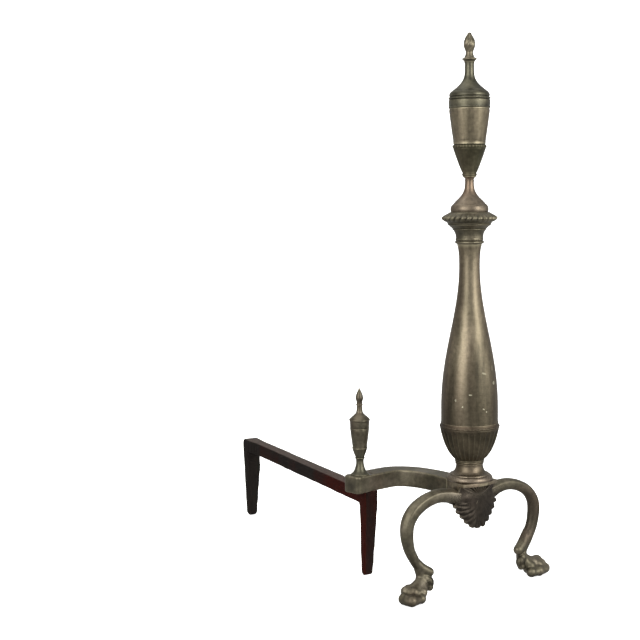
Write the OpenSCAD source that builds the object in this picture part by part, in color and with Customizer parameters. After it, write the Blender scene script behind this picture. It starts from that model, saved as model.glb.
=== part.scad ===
// Andiron of a pair: urn-topped baluster post on cabriole paw legs, with a curved
// shank and a plain iron billet bar. Front is -Y, the bar runs back along +Y.
// The post, from the floor up: legs and plinth, spool, fluted cup, column, capital,
// pedestal, urn and flame. A tie rod clamps plinth to pedestal, an urn rod the rest.

/* [Plinth] */
// Height of the plinth's top above the floor
plinth_top = 136; // [120:1:160]
// Width of the plinth
plinth_w = 55; // [50:0.5:60]
// Distance from the post's axis to the front edge of the ledge
ledge_front = 26.5; // [25:0.5:30]
// How far the ledge's ends lie behind its middle
ledge_bow = 6; // [3:0.5:8]
// Thickness of the plinth's top plate
ledge_t = 4; // [3:0.5:6]
// How far the ledge stands proud of the wall under it
ledge_over = 14.5; // [13.5:0.5:14.5]
// Depth of the plinth's walls below the plate
skirt_h = 18; // [17:0.5:20]
// Thickness of the plinth's walls
skirt_wall = 2.6; // [2:0.1:2.8]

/* [Legs] */
// Distance from the post's axis to a leg's outermost middle line
leg_reach = 104; // [95:0.5:112]
// How far the legs' middle plane stands forward of the post's axis
leg_forward = 5; // [4:0.5:5.2]
// Half thickness of a leg across its curve
leg_thick = 6.7; // [5.8:0.1:8]
// Half thickness of a leg from front to back
leg_deep = 6.4; // [5.6:0.1:7.4]
// How sharply the front arris of a leg stands out
leg_arris = 0.09; // [0:0.01:0.2]
// Distance from the middle of a paw to its longest toe
paw_len = 28; // [25:0.5:30]
// Radius of a toe's knuckle
knuckle_r = 6.4; // [5.8:0.1:6.8]
// Radius of a toe's tip
toe_r = 5.5; // [5.2:0.1:6]
// Radius of the screws that hold the legs
leg_screw_r = 2.4; // [2:0.1:2.6]

/* [Shell] */
// Half width of the shell across its widest lobes
shell_half_w = 32; // [30:0.5:36]
// Height of the shell from the ledge to its tip
shell_h = 55; // [50:0.5:60]
// Distance from the ledge down to the point that the ribs spread from
shell_hub = 14; // [11:0.5:17]
// Thickness of the shell at its rim
shell_t = 2.6; // [2:0.1:3.5]
// How far the shell swells forward at its middle
shell_swell = 2.6; // [1:0.1:4]
// Number of ribs over the full turn
shell_lobes = 30; // [20:2:36]
// Height of the shell's ribs
shell_rib = 1.4; // [0.5:0.1:2]
// Radius of the screws that hold the shell
shell_screw_r = 2; // [1.5:0.1:2.4]

/* [Base spool] */
// Height of the spool between plinth and cup
spool_h = 25; // [22:0.5:32]
// Largest radius of the spool's foot
spool_foot_r = 29.3; // [26:0.1:31]
// Radius of the spool's neck
spool_neck_r = 16.8; // [14:0.1:18.5]
// Radius of the beads at the spool's top
spool_bead_r = 18.2; // [17:0.1:20]

/* [Fluted cup] */
// Height of the cup to the seat that the column stands on
cup_seat = 42; // [38:0.5:48]
// Radius of the cup's rim bead
cup_rim_r = 37.4; // [36.5:0.1:40]
// Radius of the cup's foot
cup_foot_r = 18.4; // [17:0.1:20]
// Number of flutes round the cup
cup_flutes = 30; // [20:1:36]
// Depth of a flute
flute_depth = 1.2; // [0.4:0.1:1.8]
// Thickness of the cup's wall
cup_wall = 4; // [3:0.5:5]
// How far the cup's lip rises past the column's foot
cup_lip = 6; // [4:0.5:8]

/* [Column] */
// Height of the column
column_h = 227; // [200:1:260]
// Radius of the column's belly
belly_r = 34.9; // [33:0.1:35.2]
// Radius of the column's neck
neck_r = 12.3; // [11.8:0.1:14.5]
// Radius of the column's top, under the capital
column_top_r = 14.9; // [14:0.1:16.5]
// Height from the column's foot to its widest level
belly_z = 22; // [10:1:40]
// Height from the column's foot to its narrowest level
neck_z = 200; // [180:1:210]
// Wall of the hollow column
column_wall = 2.2; // [1.6:0.1:3]

/* [Capital] */
// Height of the capital
capital_h = 39; // [36:0.5:46]
// Radius of the capital's neck
capital_neck_r = 16.6; // [15.5:0.1:18]
// Radius of the gadrooned rim between its lobes
rim_r = 32.4; // [30:0.1:35]
// How far the lobes stand out from the rim
lobe_h = 1.4; // [0.4:0.1:2]
// Number of lobes round the rim
rim_lobes = 28; // [20:1:34]
// Angle by which each lobe leans
lobe_lean = 7; // [0:1:12]

/* [Urn pedestal] */
// Height of the pedestal
pedestal_h = 43; // [40:0.5:50]
// Radius of the pedestal's foot
pedestal_foot_r = 22.9; // [20:0.1:24]
// Radius of the pedestal's stem
stem_r = 5.1; // [4.8:0.1:7]

/* [Urn] */
// Height of the urn's lower cone
calyx_h = 40; // [36:0.5:46]
// Radius of the collar under the cone
collar_r = 8.2; // [7.5:0.1:9.5]
// Radius of the band at the top of the cone
band_r = 20.3; // [20:0.1:22]
// Height of the urn's body
body_h = 43; // [38:0.5:50]
// Radius at the body's foot
body_foot_r = 19.1; // [18:0.1:19.8]
// Radius at the body's top
body_top_r = 24.2; // [22.5:0.1:24.5]
// Wall of the hollow urn
urn_wall = 2; // [1.5:0.1:3]
// Height of the lid
lid_h = 56; // [52:0.5:62]
// Radius of the lid's rim
lid_r = 24.9; // [24.6:0.1:27]
// Height of the upright rim of the lid
lid_rim_h = 12; // [9:0.5:14]
// Radius of the lid's slender neck
lid_neck_r = 5.1; // [4.8:0.1:6.2]
// Height of the flame
flame_h = 35; // [31:0.5:40]
// Radius of the flame at its widest
flame_r = 7.2; // [6.4:0.1:8]
// Radius of the ring under the flame
flame_ring_r = 8.4; // [7.5:0.1:9.5]

/* [Shank] */
// Height of the curved shank's section
arm_h = 20; // [17:0.5:22]
// Width of the curved shank's section
arm_w = 25.5; // [22:0.5:27]
// Sideways offset of the shank where it leaves the plinth
arm_root_x = 8; // [6:0.5:9]
// Distance from the post's axis back to the shank's crosswise run
arm_back = 108; // [105:0.5:112]
// Distance from the post's axis to the shank's outer end
arm_reach = 110.5; // [108:0.5:116]
// How far the outer end comes forward again
arm_return = 7.5; // [5:0.5:9]
// Width of the tongue under the plinth
tongue_w = 18; // [15:0.5:19]
// Thickness of the tongue under the plinth
tongue_h = 9; // [7:0.5:12]

/* [Billet bar] */
// Width of the iron bar
bar_w = 17.5; // [16:0.5:21]
// Height of the iron bar
bar_h = 17.5; // [16:0.5:21]
// Distance between the middle lines of the bar's two legs
bar_len = 383; // [320:1:430]
// Angle by which the bar runs in behind the post
bar_angle = 8.4; // [0:0.1:10]
// How far the bar climbs on its way to the rear
bar_rise = 2.5; // [0:0.5:6]
// Distance of the bar's front leg from the shank's outer end
bar_inset = 26.5; // [22:0.5:30]
// Distance from the post's axis back to the front leg
bar_y = 99.5; // [98:0.5:101]
// Width of the legs at the floor
bar_tip = 10; // [8:0.5:13]
// How far the front leg stops short of the floor
front_leg_gap = 5; // [0:0.5:8]
// Radius of the bar's rear top corner
bar_corner = 7; // [3:0.5:10]
// Radius of the screw that holds the bar to the shank
bar_screw_r = 3.2; // [2.5:0.1:3.5]

/* [Log stop] */
// Height of the small urn
stop_h = 110; // [95:1:125]
// Radius of the small urn's foot
stop_foot_r = 11; // [10:0.1:12]
// Radius of the small urn's shoulder
stop_shoulder_r = 12.6; // [11.5:0.1:14]
// Radius of the small urn at its lower ring
stop_ring_r = 9.5; // [8.5:0.1:10.5]
// Radius of the small urn's stem
stop_stem_r = 4.7; // [4.2:0.1:5.5]
// Distance of the log stop from the shank's outer end
stop_inset = 15.5; // [13:0.5:18]
// Distance from the post's axis back to the small urn
stop_y = 101.3; // [100:0.1:102.5]
// Radius of the stud that holds the small urn
stop_stud_r = 3; // [2.4:0.1:3.2]

/* [Rods] */
// Radius of the tie rod
rod_r = 4; // [3.2:0.1:4.3]
// Radius of the urn's rod
urn_rod_r = 2.5; // [2:0.1:2.8]
// Gap between a rod and the bores that it passes through
rod_gap = 0.3; // [0.1:0.05:0.6]
// Gap round a thread that is drawn plain
thread_gap = 0.1; // [0.05:0.05:0.2]
// Width of the tie rod's nut across its corners
nut_d = 16; // [14:0.5:17]
// Height of the tie rod's nut
nut_h = 7; // [5:0.5:9]
// Radius of the tie rod's washer
washer_r = 9; // [8.6:0.1:9.5]
// Thickness of the tie rod's washer
washer_t = 1.6; // [1:0.1:2.5]

/* [Hidden] */
$fn = 72;

brass = [0.47, 0.44, 0.37];
brass_dark = [0.38, 0.36, 0.30];
brass_light = [0.55, 0.51, 0.42];
iron = [0.24, 0.11, 0.10];
steel = [0.45, 0.45, 0.45];

// Levels of the joints between the pieces of the post
z_spool = plinth_top;
z_cup = z_spool + spool_h;
z_column = z_cup + cup_seat;
z_capital = z_column + column_h;
z_pedestal = z_capital + capital_h;
z_calyx = z_pedestal + pedestal_h;
z_body = z_calyx + calyx_h;
z_lid = z_body + body_h;
z_flame = z_lid + lid_h;

bore_r = rod_r + rod_gap;
urn_bore_r = urn_rod_r + rod_gap;
spigot_r = 10;
spigot_h = 3;
rod_into_pedestal = 14;
urn_rod_grip = 12;

// Plinth and shell. The plinth is round behind and gently bowed in front.
plinth_r = plinth_w / 2;
bow_r = (pow(plinth_w / 2, 2) + ledge_bow * ledge_bow) / (2 * ledge_bow);
skirt_front = ledge_front - ledge_over;
skirt_z = plinth_top - ledge_t - skirt_h;
plate_z = plinth_top - ledge_t;

// Leg: the middle line is scaled from its reach and from the plinth's height
leg_root_x = plinth_w / 2;
leg_run = leg_reach - leg_root_x;
leg_root_z = plinth_top - 12;
ankle_x = leg_root_x + 0.7 * leg_run;
ankle_z = 24;
leg_screw_z = leg_root_z;

// Shank and bar
arm_z = plinth_top - arm_h;
arm_end_y = arm_back - arm_return;
bar_x = arm_reach - bar_inset;
stop_x = arm_reach - stop_inset;
bar_z = arm_z - bar_h;

// The whole stands on the middle of its own footprint
paw_x = ankle_x + 9;
paw_y = -leg_forward + 1;
// Directions of the toes, forward from straight out, and their shares of the paw's length
toe_turn = [16, 38, 61, 94];
toe_share = [1, 0.9, 0.64, 0.47];
toe_z = 5;
paw_front = toe_r - paw_y + paw_len * max(toe_share[1] * sin(toe_turn[1]), toe_share[2] * sin(toe_turn[2]));
bar_rear = bar_y + (bar_len + bar_w / 2) * cos(bar_angle) + bar_w / 2 * sin(bar_angle);
origin_y = (bar_rear - max(paw_front, cup_rim_r)) / 2;

// ---------- curves ----------

// Points of an arc in the profile plane, from angle a to angle b
function arc(cx, cz, r, a, b, n = 6) =
    [for (i = [0:n]) [cx + r * cos(a + (b - a) * i / n), cz + r * sin(a + (b - a) * i / n)]];

// Points of a curve from p to q that is drawn towards the corner c
function bow(p, c, q, n = 6) =
    [for (i = [1:n]) let (t = i / n) (1 - t) * (1 - t) * p + 2 * t * (1 - t) * c + t * t * q];

// A smooth line through given points, m steps between each two
function smooth_at(p, i, t) =
    let (a = p[max(i - 1, 0)], b = p[i], c = p[i + 1], d = p[min(i + 2, len(p) - 1)])
    0.5 * (2 * b + (c - a) * t + (2 * a - 5 * b + 4 * c - d) * t * t
        + (3 * b - a - 3 * c + d) * t * t * t);
function smooth_line(p, m) =
    [for (i = [0:len(p) - 2], k = [0:m - 1]) smooth_at(p, i, k / m), p[len(p) - 1]];

function ease(t) = t <= 0 ? 0 : t >= 1 ? 1 : t * t * (3 - 2 * t);

// A solid of revolution from a list of [radius, height], with a plain bore
module turned(z, outline, bore) {
    translate([0, 0, z])
        rotate_extrude()
            polygon(concat([[bore, outline[0][1]]], outline, [[bore, outline[len(outline) - 1][1]]]));
}

// A closed skin over rings of points that all have the same count. Its ends are flat,
// or they run in to the two given points.
module skin(rings, ends = []) {
    m = len(rings);
    n = len(rings[0]);
    last = (m - 1) * n;
    sides = [for (i = [0:m - 2], j = [0:n - 1])
        [(i + 1) * n + j, (i + 1) * n + (j + 1) % n, i * n + (j + 1) % n, i * n + j]];
    flat_ends = [[for (j = [0:n - 1]) j], [for (j = [0:n - 1]) m * n - 1 - j]];
    fans = [for (j = [0:n - 1]) each [[j, (j + 1) % n, m * n], [last + (j + 1) % n, last + j, m * n + 1]]];
    polyhedron(
        points = concat([for (r = rings, p = r) p], ends),
        faces = concat(sides, len(ends) == 0 ? flat_ends : fans),
        convexity = 6);
}

// ---------- post, from the plinth up ----------

function spool_outline() = concat(
    [[spool_foot_r - 0.9, 0]],
    bow([spool_foot_r - 0.9, 0], [spool_foot_r + 0.9, 1.6], [spool_foot_r - 0.8, 3.8], 5),
    bow([spool_foot_r - 0.8, 3.8], [spool_foot_r - 2.2, 5.4], [spool_foot_r - 4.4, 5.8], 4),
    [[spool_foot_r - 4.6, 6.4], [spool_foot_r - 4.8, 8]],
    bow([spool_foot_r - 5.6, 8.2], [spool_neck_r + 0.6, 9.4], [spool_neck_r, 16], 8),
    [[spool_neck_r, spool_h - 5.4]],
    arc(spool_bead_r - 1.5, spool_h - 4.2, 1, -80, 80, 4),
    [[spool_bead_r - 1.4, spool_h - 2.8]],
    arc(spool_bead_r - 1.3, spool_h - 1.4, 1.3, -80, 80, 4),
    [[spool_bead_r - 1.3, spool_h]]);

module base_spool() {
    color(brass)
        union() {
            turned(z_spool, spool_outline(), bore_r);
            translate([0, 0, z_spool - spigot_h])
                difference() {
                    cylinder(r = spigot_r, h = spigot_h + 1);
                    translate([0, 0, -1]) cylinder(r = bore_r, h = spigot_h + 3);
                }
        }
}

// Height steps of the fluted wall, and its radius at the share t of the way up
flute_top = cup_seat - 2;
function cup_curve(t) = let (a = [cup_foot_r, 1.5], b = [30.5 / 37.4 * cup_rim_r, 12], c = [cup_rim_r - 0.7, flute_top])
    (1 - t) * (1 - t) * a + 2 * t * (1 - t) * b + t * t * c;
function flute_cut(t) = flute_depth * min(1, 5 * t) * min(1, sqrt(max(0, 9 * (1 - t))));

module fluted_cup() {
    steps = 10;
    per = 4;
    n = cup_flutes * per;
    rings = concat(
        [[for (j = [0:n - 1]) [cup_foot_r * cos(j * 360 / n), cup_foot_r * sin(j * 360 / n), 0]]],
        [for (i = [0:steps])
            let (t = i / steps, q = cup_curve(t), d = flute_cut(t))
            [for (j = [0:n - 1])
                let (r = q[0] - d * sin(180 * (j % per) / per))
                [r * cos(j * 360 / n), r * sin(j * 360 / n), q[1]]]]);
    color(brass_dark)
        difference() {
            union() {
                translate([0, 0, z_cup]) skin(rings);
                turned(z_cup + flute_top - 1, concat(
                    [[cup_rim_r - 2, 0]],
                    arc(cup_rim_r - 2.6, 4, 2.6, -70, 80, 6),
                    bow([cup_rim_r - 1.4, 7], [cup_rim_r - 1.8, cup_lip + 1.8], [belly_r + 1, cup_lip + 3], 3)), bore_r);
            }
            translate([0, 0, z_cup - 1])
                cylinder(r = bore_r, h = cup_seat + 2);
            translate([0, 0, z_cup + 6])
                cylinder(r1 = cup_foot_r - cup_wall, r2 = belly_r - 5, h = cup_seat - 5.9);
            translate([0, 0, z_column])
                cylinder(r = belly_r + rod_gap, h = cup_lip + 2);
        }
}

// Radius of the column's outside at height z above its foot
column_power = 1.08;
function column_r(z) =
    z < belly_z ? belly_r :
    z < neck_z ? neck_r + (belly_r - neck_r) * (1 + cos(180 * pow((z - belly_z) / (neck_z - belly_z), column_power))) / 2 :
    neck_r + (column_top_r - neck_r) * pow((z - neck_z) / (column_h - neck_z), 3);

module column() {
    steps = 34;
    socket_h = 6;
    outer = [for (i = [0:steps]) let (z = column_h * i / steps) [column_r(z), z]];
    inner = [for (i = [0:steps]) let (z = (column_h - socket_h) * i / steps) [column_r(z) - column_wall, z]];
    color(brass)
        translate([0, 0, z_column])
            rotate_extrude()
                polygon(concat(
                    outer,
                    [[spigot_r + thread_gap, column_h], [spigot_r + thread_gap, column_h - socket_h]],
                    [for (i = [steps:-1:0]) inner[i]]));
}

// Gadrooned rim: rings of lobes that swell at the rim and die away above and below
rim_z = capital_h - 12;
rim_rings = [[-5.2, 0, 0], [-2.4, 1.8, 0.5], [-0.7, 3.4, 1], [0, 5.2, 1], [-1.6, 7.4, 0.9],
    [-4.6, 9.4, 0.5], [-7.4, 10.8, 0.15], [-8.2, 12, 0]];

module gadroons() {
    per = 4;
    n = rim_lobes * per;
    skin([for (q = rim_rings)
        [for (j = [0:n - 1])
            let (a = j * 360 / n + lobe_lean * q[1] / 12,
                r = rim_r + q[0] + lobe_h * q[2] * (sin(180 * ((j % per) + 0.001) / per) - 0.3))
            [r * cos(a), r * sin(a), rim_z + q[1]]]]);
}

module capital() {
    color(brass)
        difference() {
            union() {
                turned(z_capital, concat(
                    [[column_top_r, 0]],
                    arc(capital_neck_r - 0.9, 2.4, 1.8, -80, 80, 5),
                    [[capital_neck_r - 0.4, 4.6]],
                    arc(capital_neck_r - 0.5, 6, 0.8, -80, 80, 4),
                    bow([capital_neck_r - 0.3, 7.4], [capital_neck_r - 0.4, 13.5], [capital_neck_r + 2.8, 17.4], 5),
                    [[capital_neck_r + 3.6, 17.6], [capital_neck_r + 3.8, 19]],
                    bow([capital_neck_r + 4.2, 19.2], [capital_neck_r + 6.2, 21.4], [capital_neck_r + 8.4, 23.2], 4),
                    [[capital_neck_r + 9.2, 23.4], [capital_neck_r + 9.5, 24.8], [rim_r - 5.5, rim_z + 1]]),
                    bore_r);
                translate([0, 0, z_capital]) gadroons();
                translate([0, 0, z_capital - 5]) cylinder(r = spigot_r, h = 6);
            }
            translate([0, 0, z_capital - 6]) cylinder(r = bore_r, h = capital_h + 8);
        }
}

module urn_pedestal() {
    h = pedestal_h;
    color(brass)
        difference() {
            turned(z_pedestal, concat(
                [[pedestal_foot_r - 0.8, 0]],
                arc(pedestal_foot_r - 2.6, 3, 2.6, -60, 70, 6),
                [[pedestal_foot_r - 1.5, 6.2]],
                bow([pedestal_foot_r - 1.2, 7.4], [stem_r + 6.6, 0.35 * h], [stem_r + 0.1, 0.6 * h], 10),
                [[stem_r, 0.79 * h]],
                bow([stem_r, 0.84 * h], [stem_r + 0.1, 0.92 * h], [stem_r + 1.2, h], 3)), 0);
            translate([0, 0, z_pedestal - 1]) cylinder(r = rod_r + thread_gap, h = rod_into_pedestal + 1.5);
            translate([0, 0, z_calyx - urn_rod_grip - 1]) cylinder(r = urn_rod_r + thread_gap, h = urn_rod_grip + 2);
        }
}

module urn_calyx() {
    h = calyx_h;
    color(brass_dark)
        difference() {
            turned(z_calyx, concat(
                [[collar_r - 0.8, 0]],
                arc(collar_r - 1.4, 3, 1.4, -70, 70, 4),
                [[collar_r - 0.6, 5]],
                bow([collar_r - 0.3, 7], [collar_r + 1.2, 11], [band_r - 7, h - 20], 4),
                [[band_r - 1.4, h - 6.4]],
                arc(band_r - 2.4, h - 2.6, 2.4, -60, 70, 6),
                [[body_foot_r, h]]), 0);
            translate([0, 0, z_calyx - 1]) cylinder(r = urn_bore_r, h = h + 2);
            translate([0, 0, z_calyx + 14])
                cylinder(r1 = collar_r - urn_wall, r2 = body_foot_r - urn_wall - 2, h = h - 13.9);
        }
}

// A short fixing bush at a hollow piece's end centres it on the urn's rod
module urn_body() {
    h = body_h;
    color(brass)
        difference() {
            turned(z_body, concat(
                [[body_foot_r, 0], [body_foot_r, 3]],
                bow([body_foot_r, 4], [(body_foot_r + body_top_r) / 2 + 1.4, h * 0.6], [body_top_r, h - 3], 7),
                [[body_top_r, h]]), 0);
            translate([0, 0, z_body - 1]) cylinder(r = urn_bore_r, h = h + 2);
            translate([0, 0, z_body + urn_wall])
                cylinder(r1 = body_foot_r - urn_wall, r2 = body_top_r - urn_wall, h = h - urn_wall + 0.1);
        }
}

module urn_lid() {
    r = lid_r;
    n = lid_neck_r;
    color(brass)
        difference() {
            turned(z_lid, concat(
                [[body_top_r - 0.2, 0]],
                arc(r - 1.1, 1.5, 1.1, -60, 80, 4),
                [[r - 0.6, 3.4], [r - 0.4, lid_rim_h - 2.4]],
                arc(r - 1.4, lid_rim_h - 0.6, 1.4, -40, 60, 4),
                bow([r - 0.6, lid_rim_h + 2.2], [r - 2, lid_rim_h + 7], [r - 6.8, lid_rim_h + 11], 6),
                bow([r - 6.8, lid_rim_h + 11], [n + 3.4, lid_rim_h + 16], [n, lid_rim_h + 32], 9),
                [[n + 0.3, lid_h - 3], [n + 0.9, lid_h]]), 0);
            translate([0, 0, z_lid - 1]) cylinder(r = urn_bore_r, h = lid_h + 2);
            translate([0, 0, z_lid - 1]) cylinder(r = body_top_r - urn_wall, h = lid_rim_h - 1.5);
        }
}

module flame_finial() {
    h = flame_h;
    grip = 8;
    color(brass_light)
        difference() {
            turned(z_flame, concat(
                [[lid_neck_r + 0.9, 0], [flame_ring_r, 2.9], [flame_ring_r - 0.1, 3.6], [5.3, 6]],
                bow([5, 6.4], [4.3, 9.6], [4.8, 12.4], 4),
                bow([5.6, 14], [flame_r - 0.1, 15.4], [flame_r, 18.2], 4),
                bow([flame_r, 18.2], [flame_r - 0.4, 24], [2.4, 30.6], 6),
                bow([2.4, 30.6], [1, h - 2.4], [0.01, h], 3)), 0);
            translate([0, 0, z_flame - 1]) cylinder(r = urn_rod_r + thread_gap, h = grip + 1.5);
        }
}

module urn_rod() {
    color(steel)
        translate([0, 0, z_calyx - urn_rod_grip])
            cylinder(r = urn_rod_r, h = z_flame + 8 - z_calyx + urn_rod_grip);
}

// ---------- clamping rod ----------

tongue_z = plate_z - tongue_h;
rod_end_z = tongue_z - washer_t - nut_h - 6;

module tie_rod() {
    color(steel)
        translate([0, 0, rod_end_z])
            cylinder(r = rod_r, h = z_pedestal + rod_into_pedestal - rod_end_z);
}

module tie_rod_washer() {
    color(steel)
        translate([0, 0, tongue_z - washer_t])
            difference() {
                cylinder(r = washer_r, h = washer_t);
                translate([0, 0, -1]) cylinder(r = bore_r, h = washer_t + 2);
            }
}

module tie_rod_nut() {
    color(steel)
        translate([0, 0, tongue_z - washer_t - nut_h])
            difference() {
                cylinder(d = nut_d, h = nut_h, $fn = 6);
                translate([0, 0, -1]) cylinder(r = rod_r + thread_gap, h = nut_h + 2);
            }
}

// ---------- plinth, legs and shell ----------

module round_back(inset) {
    intersection() {
        circle(r = plinth_r - inset);
        translate([-plinth_r, 0]) square([plinth_w, plinth_r]);
    }
}

// The plinth's plan, drawn in by the given distance
module plinth_plan(inset, front) {
    round_back(inset);
    intersection() {
        translate([-plinth_r + inset, -front]) square([plinth_w - 2 * inset, front]);
        translate([0, bow_r - front]) circle(r = bow_r, $fn = 240);
    }
}

module plinth() {
    color(brass)
        difference() {
            union() {
                translate([0, 0, plate_z])
                    linear_extrude(ledge_t) plinth_plan(0, ledge_front);
                translate([0, 0, skirt_z])
                    linear_extrude(skirt_h + 0.5) skirt_plan(0);
            }
            translate([0, 0, skirt_z - 1])
                linear_extrude(skirt_h + 1) skirt_plan(skirt_wall);
            translate([0, 0, plate_z - 1]) cylinder(r = spigot_r + thread_gap, h = ledge_t + 2);
            translate([-arm_root_x - tongue_w / 2 - rod_gap, 0, tongue_z - rod_gap])
                cube([tongue_w + 2 * rod_gap, plinth_r + 1, tongue_h + rod_gap]);
            translate([-plinth_r - 1, -leg_forward, leg_screw_z])
                rotate([0, 90, 0]) cylinder(r = leg_screw_r + rod_gap, h = plinth_w + 2);
            for (x = [-1, 1])
                translate([x * shell_screw_x, -skirt_front - 1, shell_screw_z])
                    rotate([-90, 0, 0]) cylinder(r = shell_screw_r + rod_gap, h = skirt_wall + 2);
        }
}

module skirt_plan(inset) {
    round_back(inset);
    translate([-plinth_r + inset, -skirt_front + inset]) square([plinth_w - 2 * inset, skirt_front - inset]);
}

// Middle line of a leg in its own upright plane, as shares of its run and real heights
leg_line = smooth_line([
    [0, leg_root_z], [0.19, plinth_top - 12.6], [0.40, plinth_top - 12.6], [0.64, plinth_top - 17],
    [0.85, plinth_top - 26], [0.975, plinth_top - 39], [1, 82], [0.95, 63], [0.825, 46.5],
    [0.735, 35], [0.70, ankle_z]], 3);
leg_girth = smooth_line([[1.4, 1.45], [1.15, 1.2], [1.02, 1.02], [1.02, 1], [1.05, 1.02],
    [1.05, 1.03], [1.02, 1], [0.95, 0.95], [0.88, 0.9], [0.92, 0.95], [1.02, 1.1]], 3);

function leg_point(i) = [leg_root_x + leg_run * leg_line[i][0], leg_line[i][1]];
function leg_dir(i) = let (d = leg_point(min(i + 1, len(leg_line) - 1)) - leg_point(max(i - 1, 0))) d / norm(d);
// The section is a soft oval with one arris at the front, towards the inner side
function leg_section(a) = 1 + leg_arris * exp(-pow((a - 120) / 24, 2)) + 0.05 * pow(sin(2 * a), 2);

module leg_loft() {
    n = 16;
    skin([for (i = [0:len(leg_line) - 1])
        let (p = leg_point(i), d = i == 0 ? [1, 0] : leg_dir(i), out = [-d[1], d[0]], g = leg_girth[i])
        [for (j = [0:n - 1])
            let (a = 360 * j / n, s = leg_section(a),
                u = leg_thick * g[0] * s * cos(a), v = leg_deep * g[1] * s * sin(a))
            [p[0] + out[0] * u, -leg_forward - v, p[1] + out[1] * u]]]);
}

module ball(x, y, z, r) {
    translate([x, y, z]) sphere(r = r, $fn = 14);
}

// A toe: a high knuckle and, in front of it, a low rounded tip
module toe(k) {
    len = paw_len * toe_share[k];
    high = 14.4 - 1.1 * k;
    knuckle = knuckle_r - 0.25 * k;
    translate([paw_x, paw_y, 0])
        rotate([0, 0, -toe_turn[k]]) {
            hull() {
                ball(0, 0, 11, knuckle);
                ball(len * 0.7, 0, high, knuckle);
            }
            hull() {
                ball(len * 0.3, 0, toe_z + 1, toe_r);
                ball(len, 0, toe_z, toe_r);
            }
        }
}

module paw() {
    y = -leg_forward - 3;
    for (k = [0:3]) toe(k);
    // ankle and instep
    hull() {
        ball(ankle_x, -leg_forward, ankle_z, leg_thick);
        ball(ankle_x + 1, y, 15, leg_thick);
    }
    hull() {
        ball(ankle_x + 1, y + 1, 19, leg_thick);
        ball(paw_x + 4, paw_y, 12.5, leg_thick);
    }
    // heel and the tuft above it
    hull() {
        ball(ankle_x - 4.5, y - 3, 14.5, 6);
        ball(ankle_x + 3, y - 1, 14, 6.4);
    }
    hull() {
        ball(ankle_x - 9, y - 1.5, 32.5, 4.8);
        ball(ankle_x + 1, y + 2, 38, 6);
    }
}

module leg() {
    big = 400;
    difference() {
        union() {
            leg_loft();
            paw();
        }
        translate([-big / 2, -big / 2, -big]) cube(big);
        translate([leg_root_x - 1, -leg_forward, leg_screw_z])
            rotate([0, 90, 0]) cylinder(r = leg_screw_r + thread_gap, h = 15, $fn = 24);
    }
}

module right_leg() {
    color(brass) leg();
}

module left_leg() {
    color(brass) mirror([1, 0, 0]) leg();
}

module leg_screws() {
    head_h = 3;
    for (side = [-1, 1])
        color(steel)
            translate([side * (plinth_w / 2 - skirt_wall), -leg_forward, leg_screw_z])
                rotate([0, side * 90, 0]) {
                    cylinder(r = leg_screw_r, h = skirt_wall + 12);
                    translate([0, 0, -head_h]) cylinder(r = leg_screw_r + 1.6, h = head_h);
                }
}

// Shell: a scallop hung point down. Its ribs spread all round from a hub below the
// ledge, die away in the middle of the fan, and curl on their way to the rim.
shell_screw_x = 13;
shell_screw_z = plate_z - 8;
shell_hub_z = plate_z - shell_hub;
shell_ear = atan2(shell_half_w, 11);
shell_neck = 76;
shell_side = atan2(plinth_r, shell_hub);
shell_fan_r = shell_half_w / sin(shell_ear);
shell_tip_r = shell_h - shell_hub;

// Distance from the hub to the rim at angle b from straight down
function shell_edge(b) = let (a = abs(b))
    a > 180 - shell_side ? shell_hub / abs(cos(a)) :
    a > shell_neck ? plinth_r / sin(a) :
    (shell_fan_r + (shell_tip_r - shell_fan_r) * pow(max(0, 1 - a / 46), 1.2))
        * (1 + 0.028 * (abs(cos(a * shell_lobes / 2)) - 0.5));
function shell_relief(b, t) =
    let (a = abs(b), curl = (a + 7 * (1 - t) * sin(2 * min(a, 90))) * shell_lobes / 2, fan = a > shell_neck ? 0.6 : ease((a - 8) / 24))
    shell_rib * (fan * ease(t * 2.2) * abs(cos(curl)) + 0.3 * (1 - fan) * ease(4 * t - 2.6) * abs(cos(curl)));
// The shell's front swells forward under the ledge; its back is flat
function shell_plane(z) = -skirt_front - shell_t - 5 * pow(max(0, (z - shell_hub_z) / shell_hub), 2);
function shell_point(b, t, back) =
    let (r = shell_edge(b) * t, z = shell_hub_z - r * cos(b), x = r * sin(b))
    [x, back > 0 ? -skirt_front
        : shell_plane(z) - shell_swell * (1 - t * t) - shell_relief(b, t) * (t > 0.99 ? 0.4 : 1), z];

module shell_apron() {
    n = shell_lobes * 4;
    front = [1, 0.94, 0.8, 0.6, 0.38, 0.16];
    turns = [for (i = [0:n - 1]) -180 + 360 * (i + 0.5) / n];
    rings = concat(
        [[for (b = turns) shell_point(b, 1, 1)]],
        [for (t = front) [for (b = turns) shell_point(b, t, 0)]]);
    color(brass_dark)
        difference() {
            skin(rings, [shell_point(0, 0, 1), shell_point(0, 0, 0)]);
            for (x = [-1, 1])
                translate([x * shell_screw_x, -skirt_front + 1, shell_screw_z])
                    rotate([90, 0, 0]) cylinder(r = shell_screw_r + thread_gap, h = 4);
        }
}

module shell_screws() {
    head_h = 2.2;
    for (side = [-1, 1])
        color(steel)
            translate([side * shell_screw_x, -skirt_front + skirt_wall, shell_screw_z])
                rotate([90, 0, 0]) {
                    cylinder(r = shell_screw_r, h = skirt_wall + 2.6);
                    translate([0, 0, -head_h]) cylinder(r = shell_screw_r + 1.6, h = head_h);
                }
}

// ---------- shank, bar and log stop ----------

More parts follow.
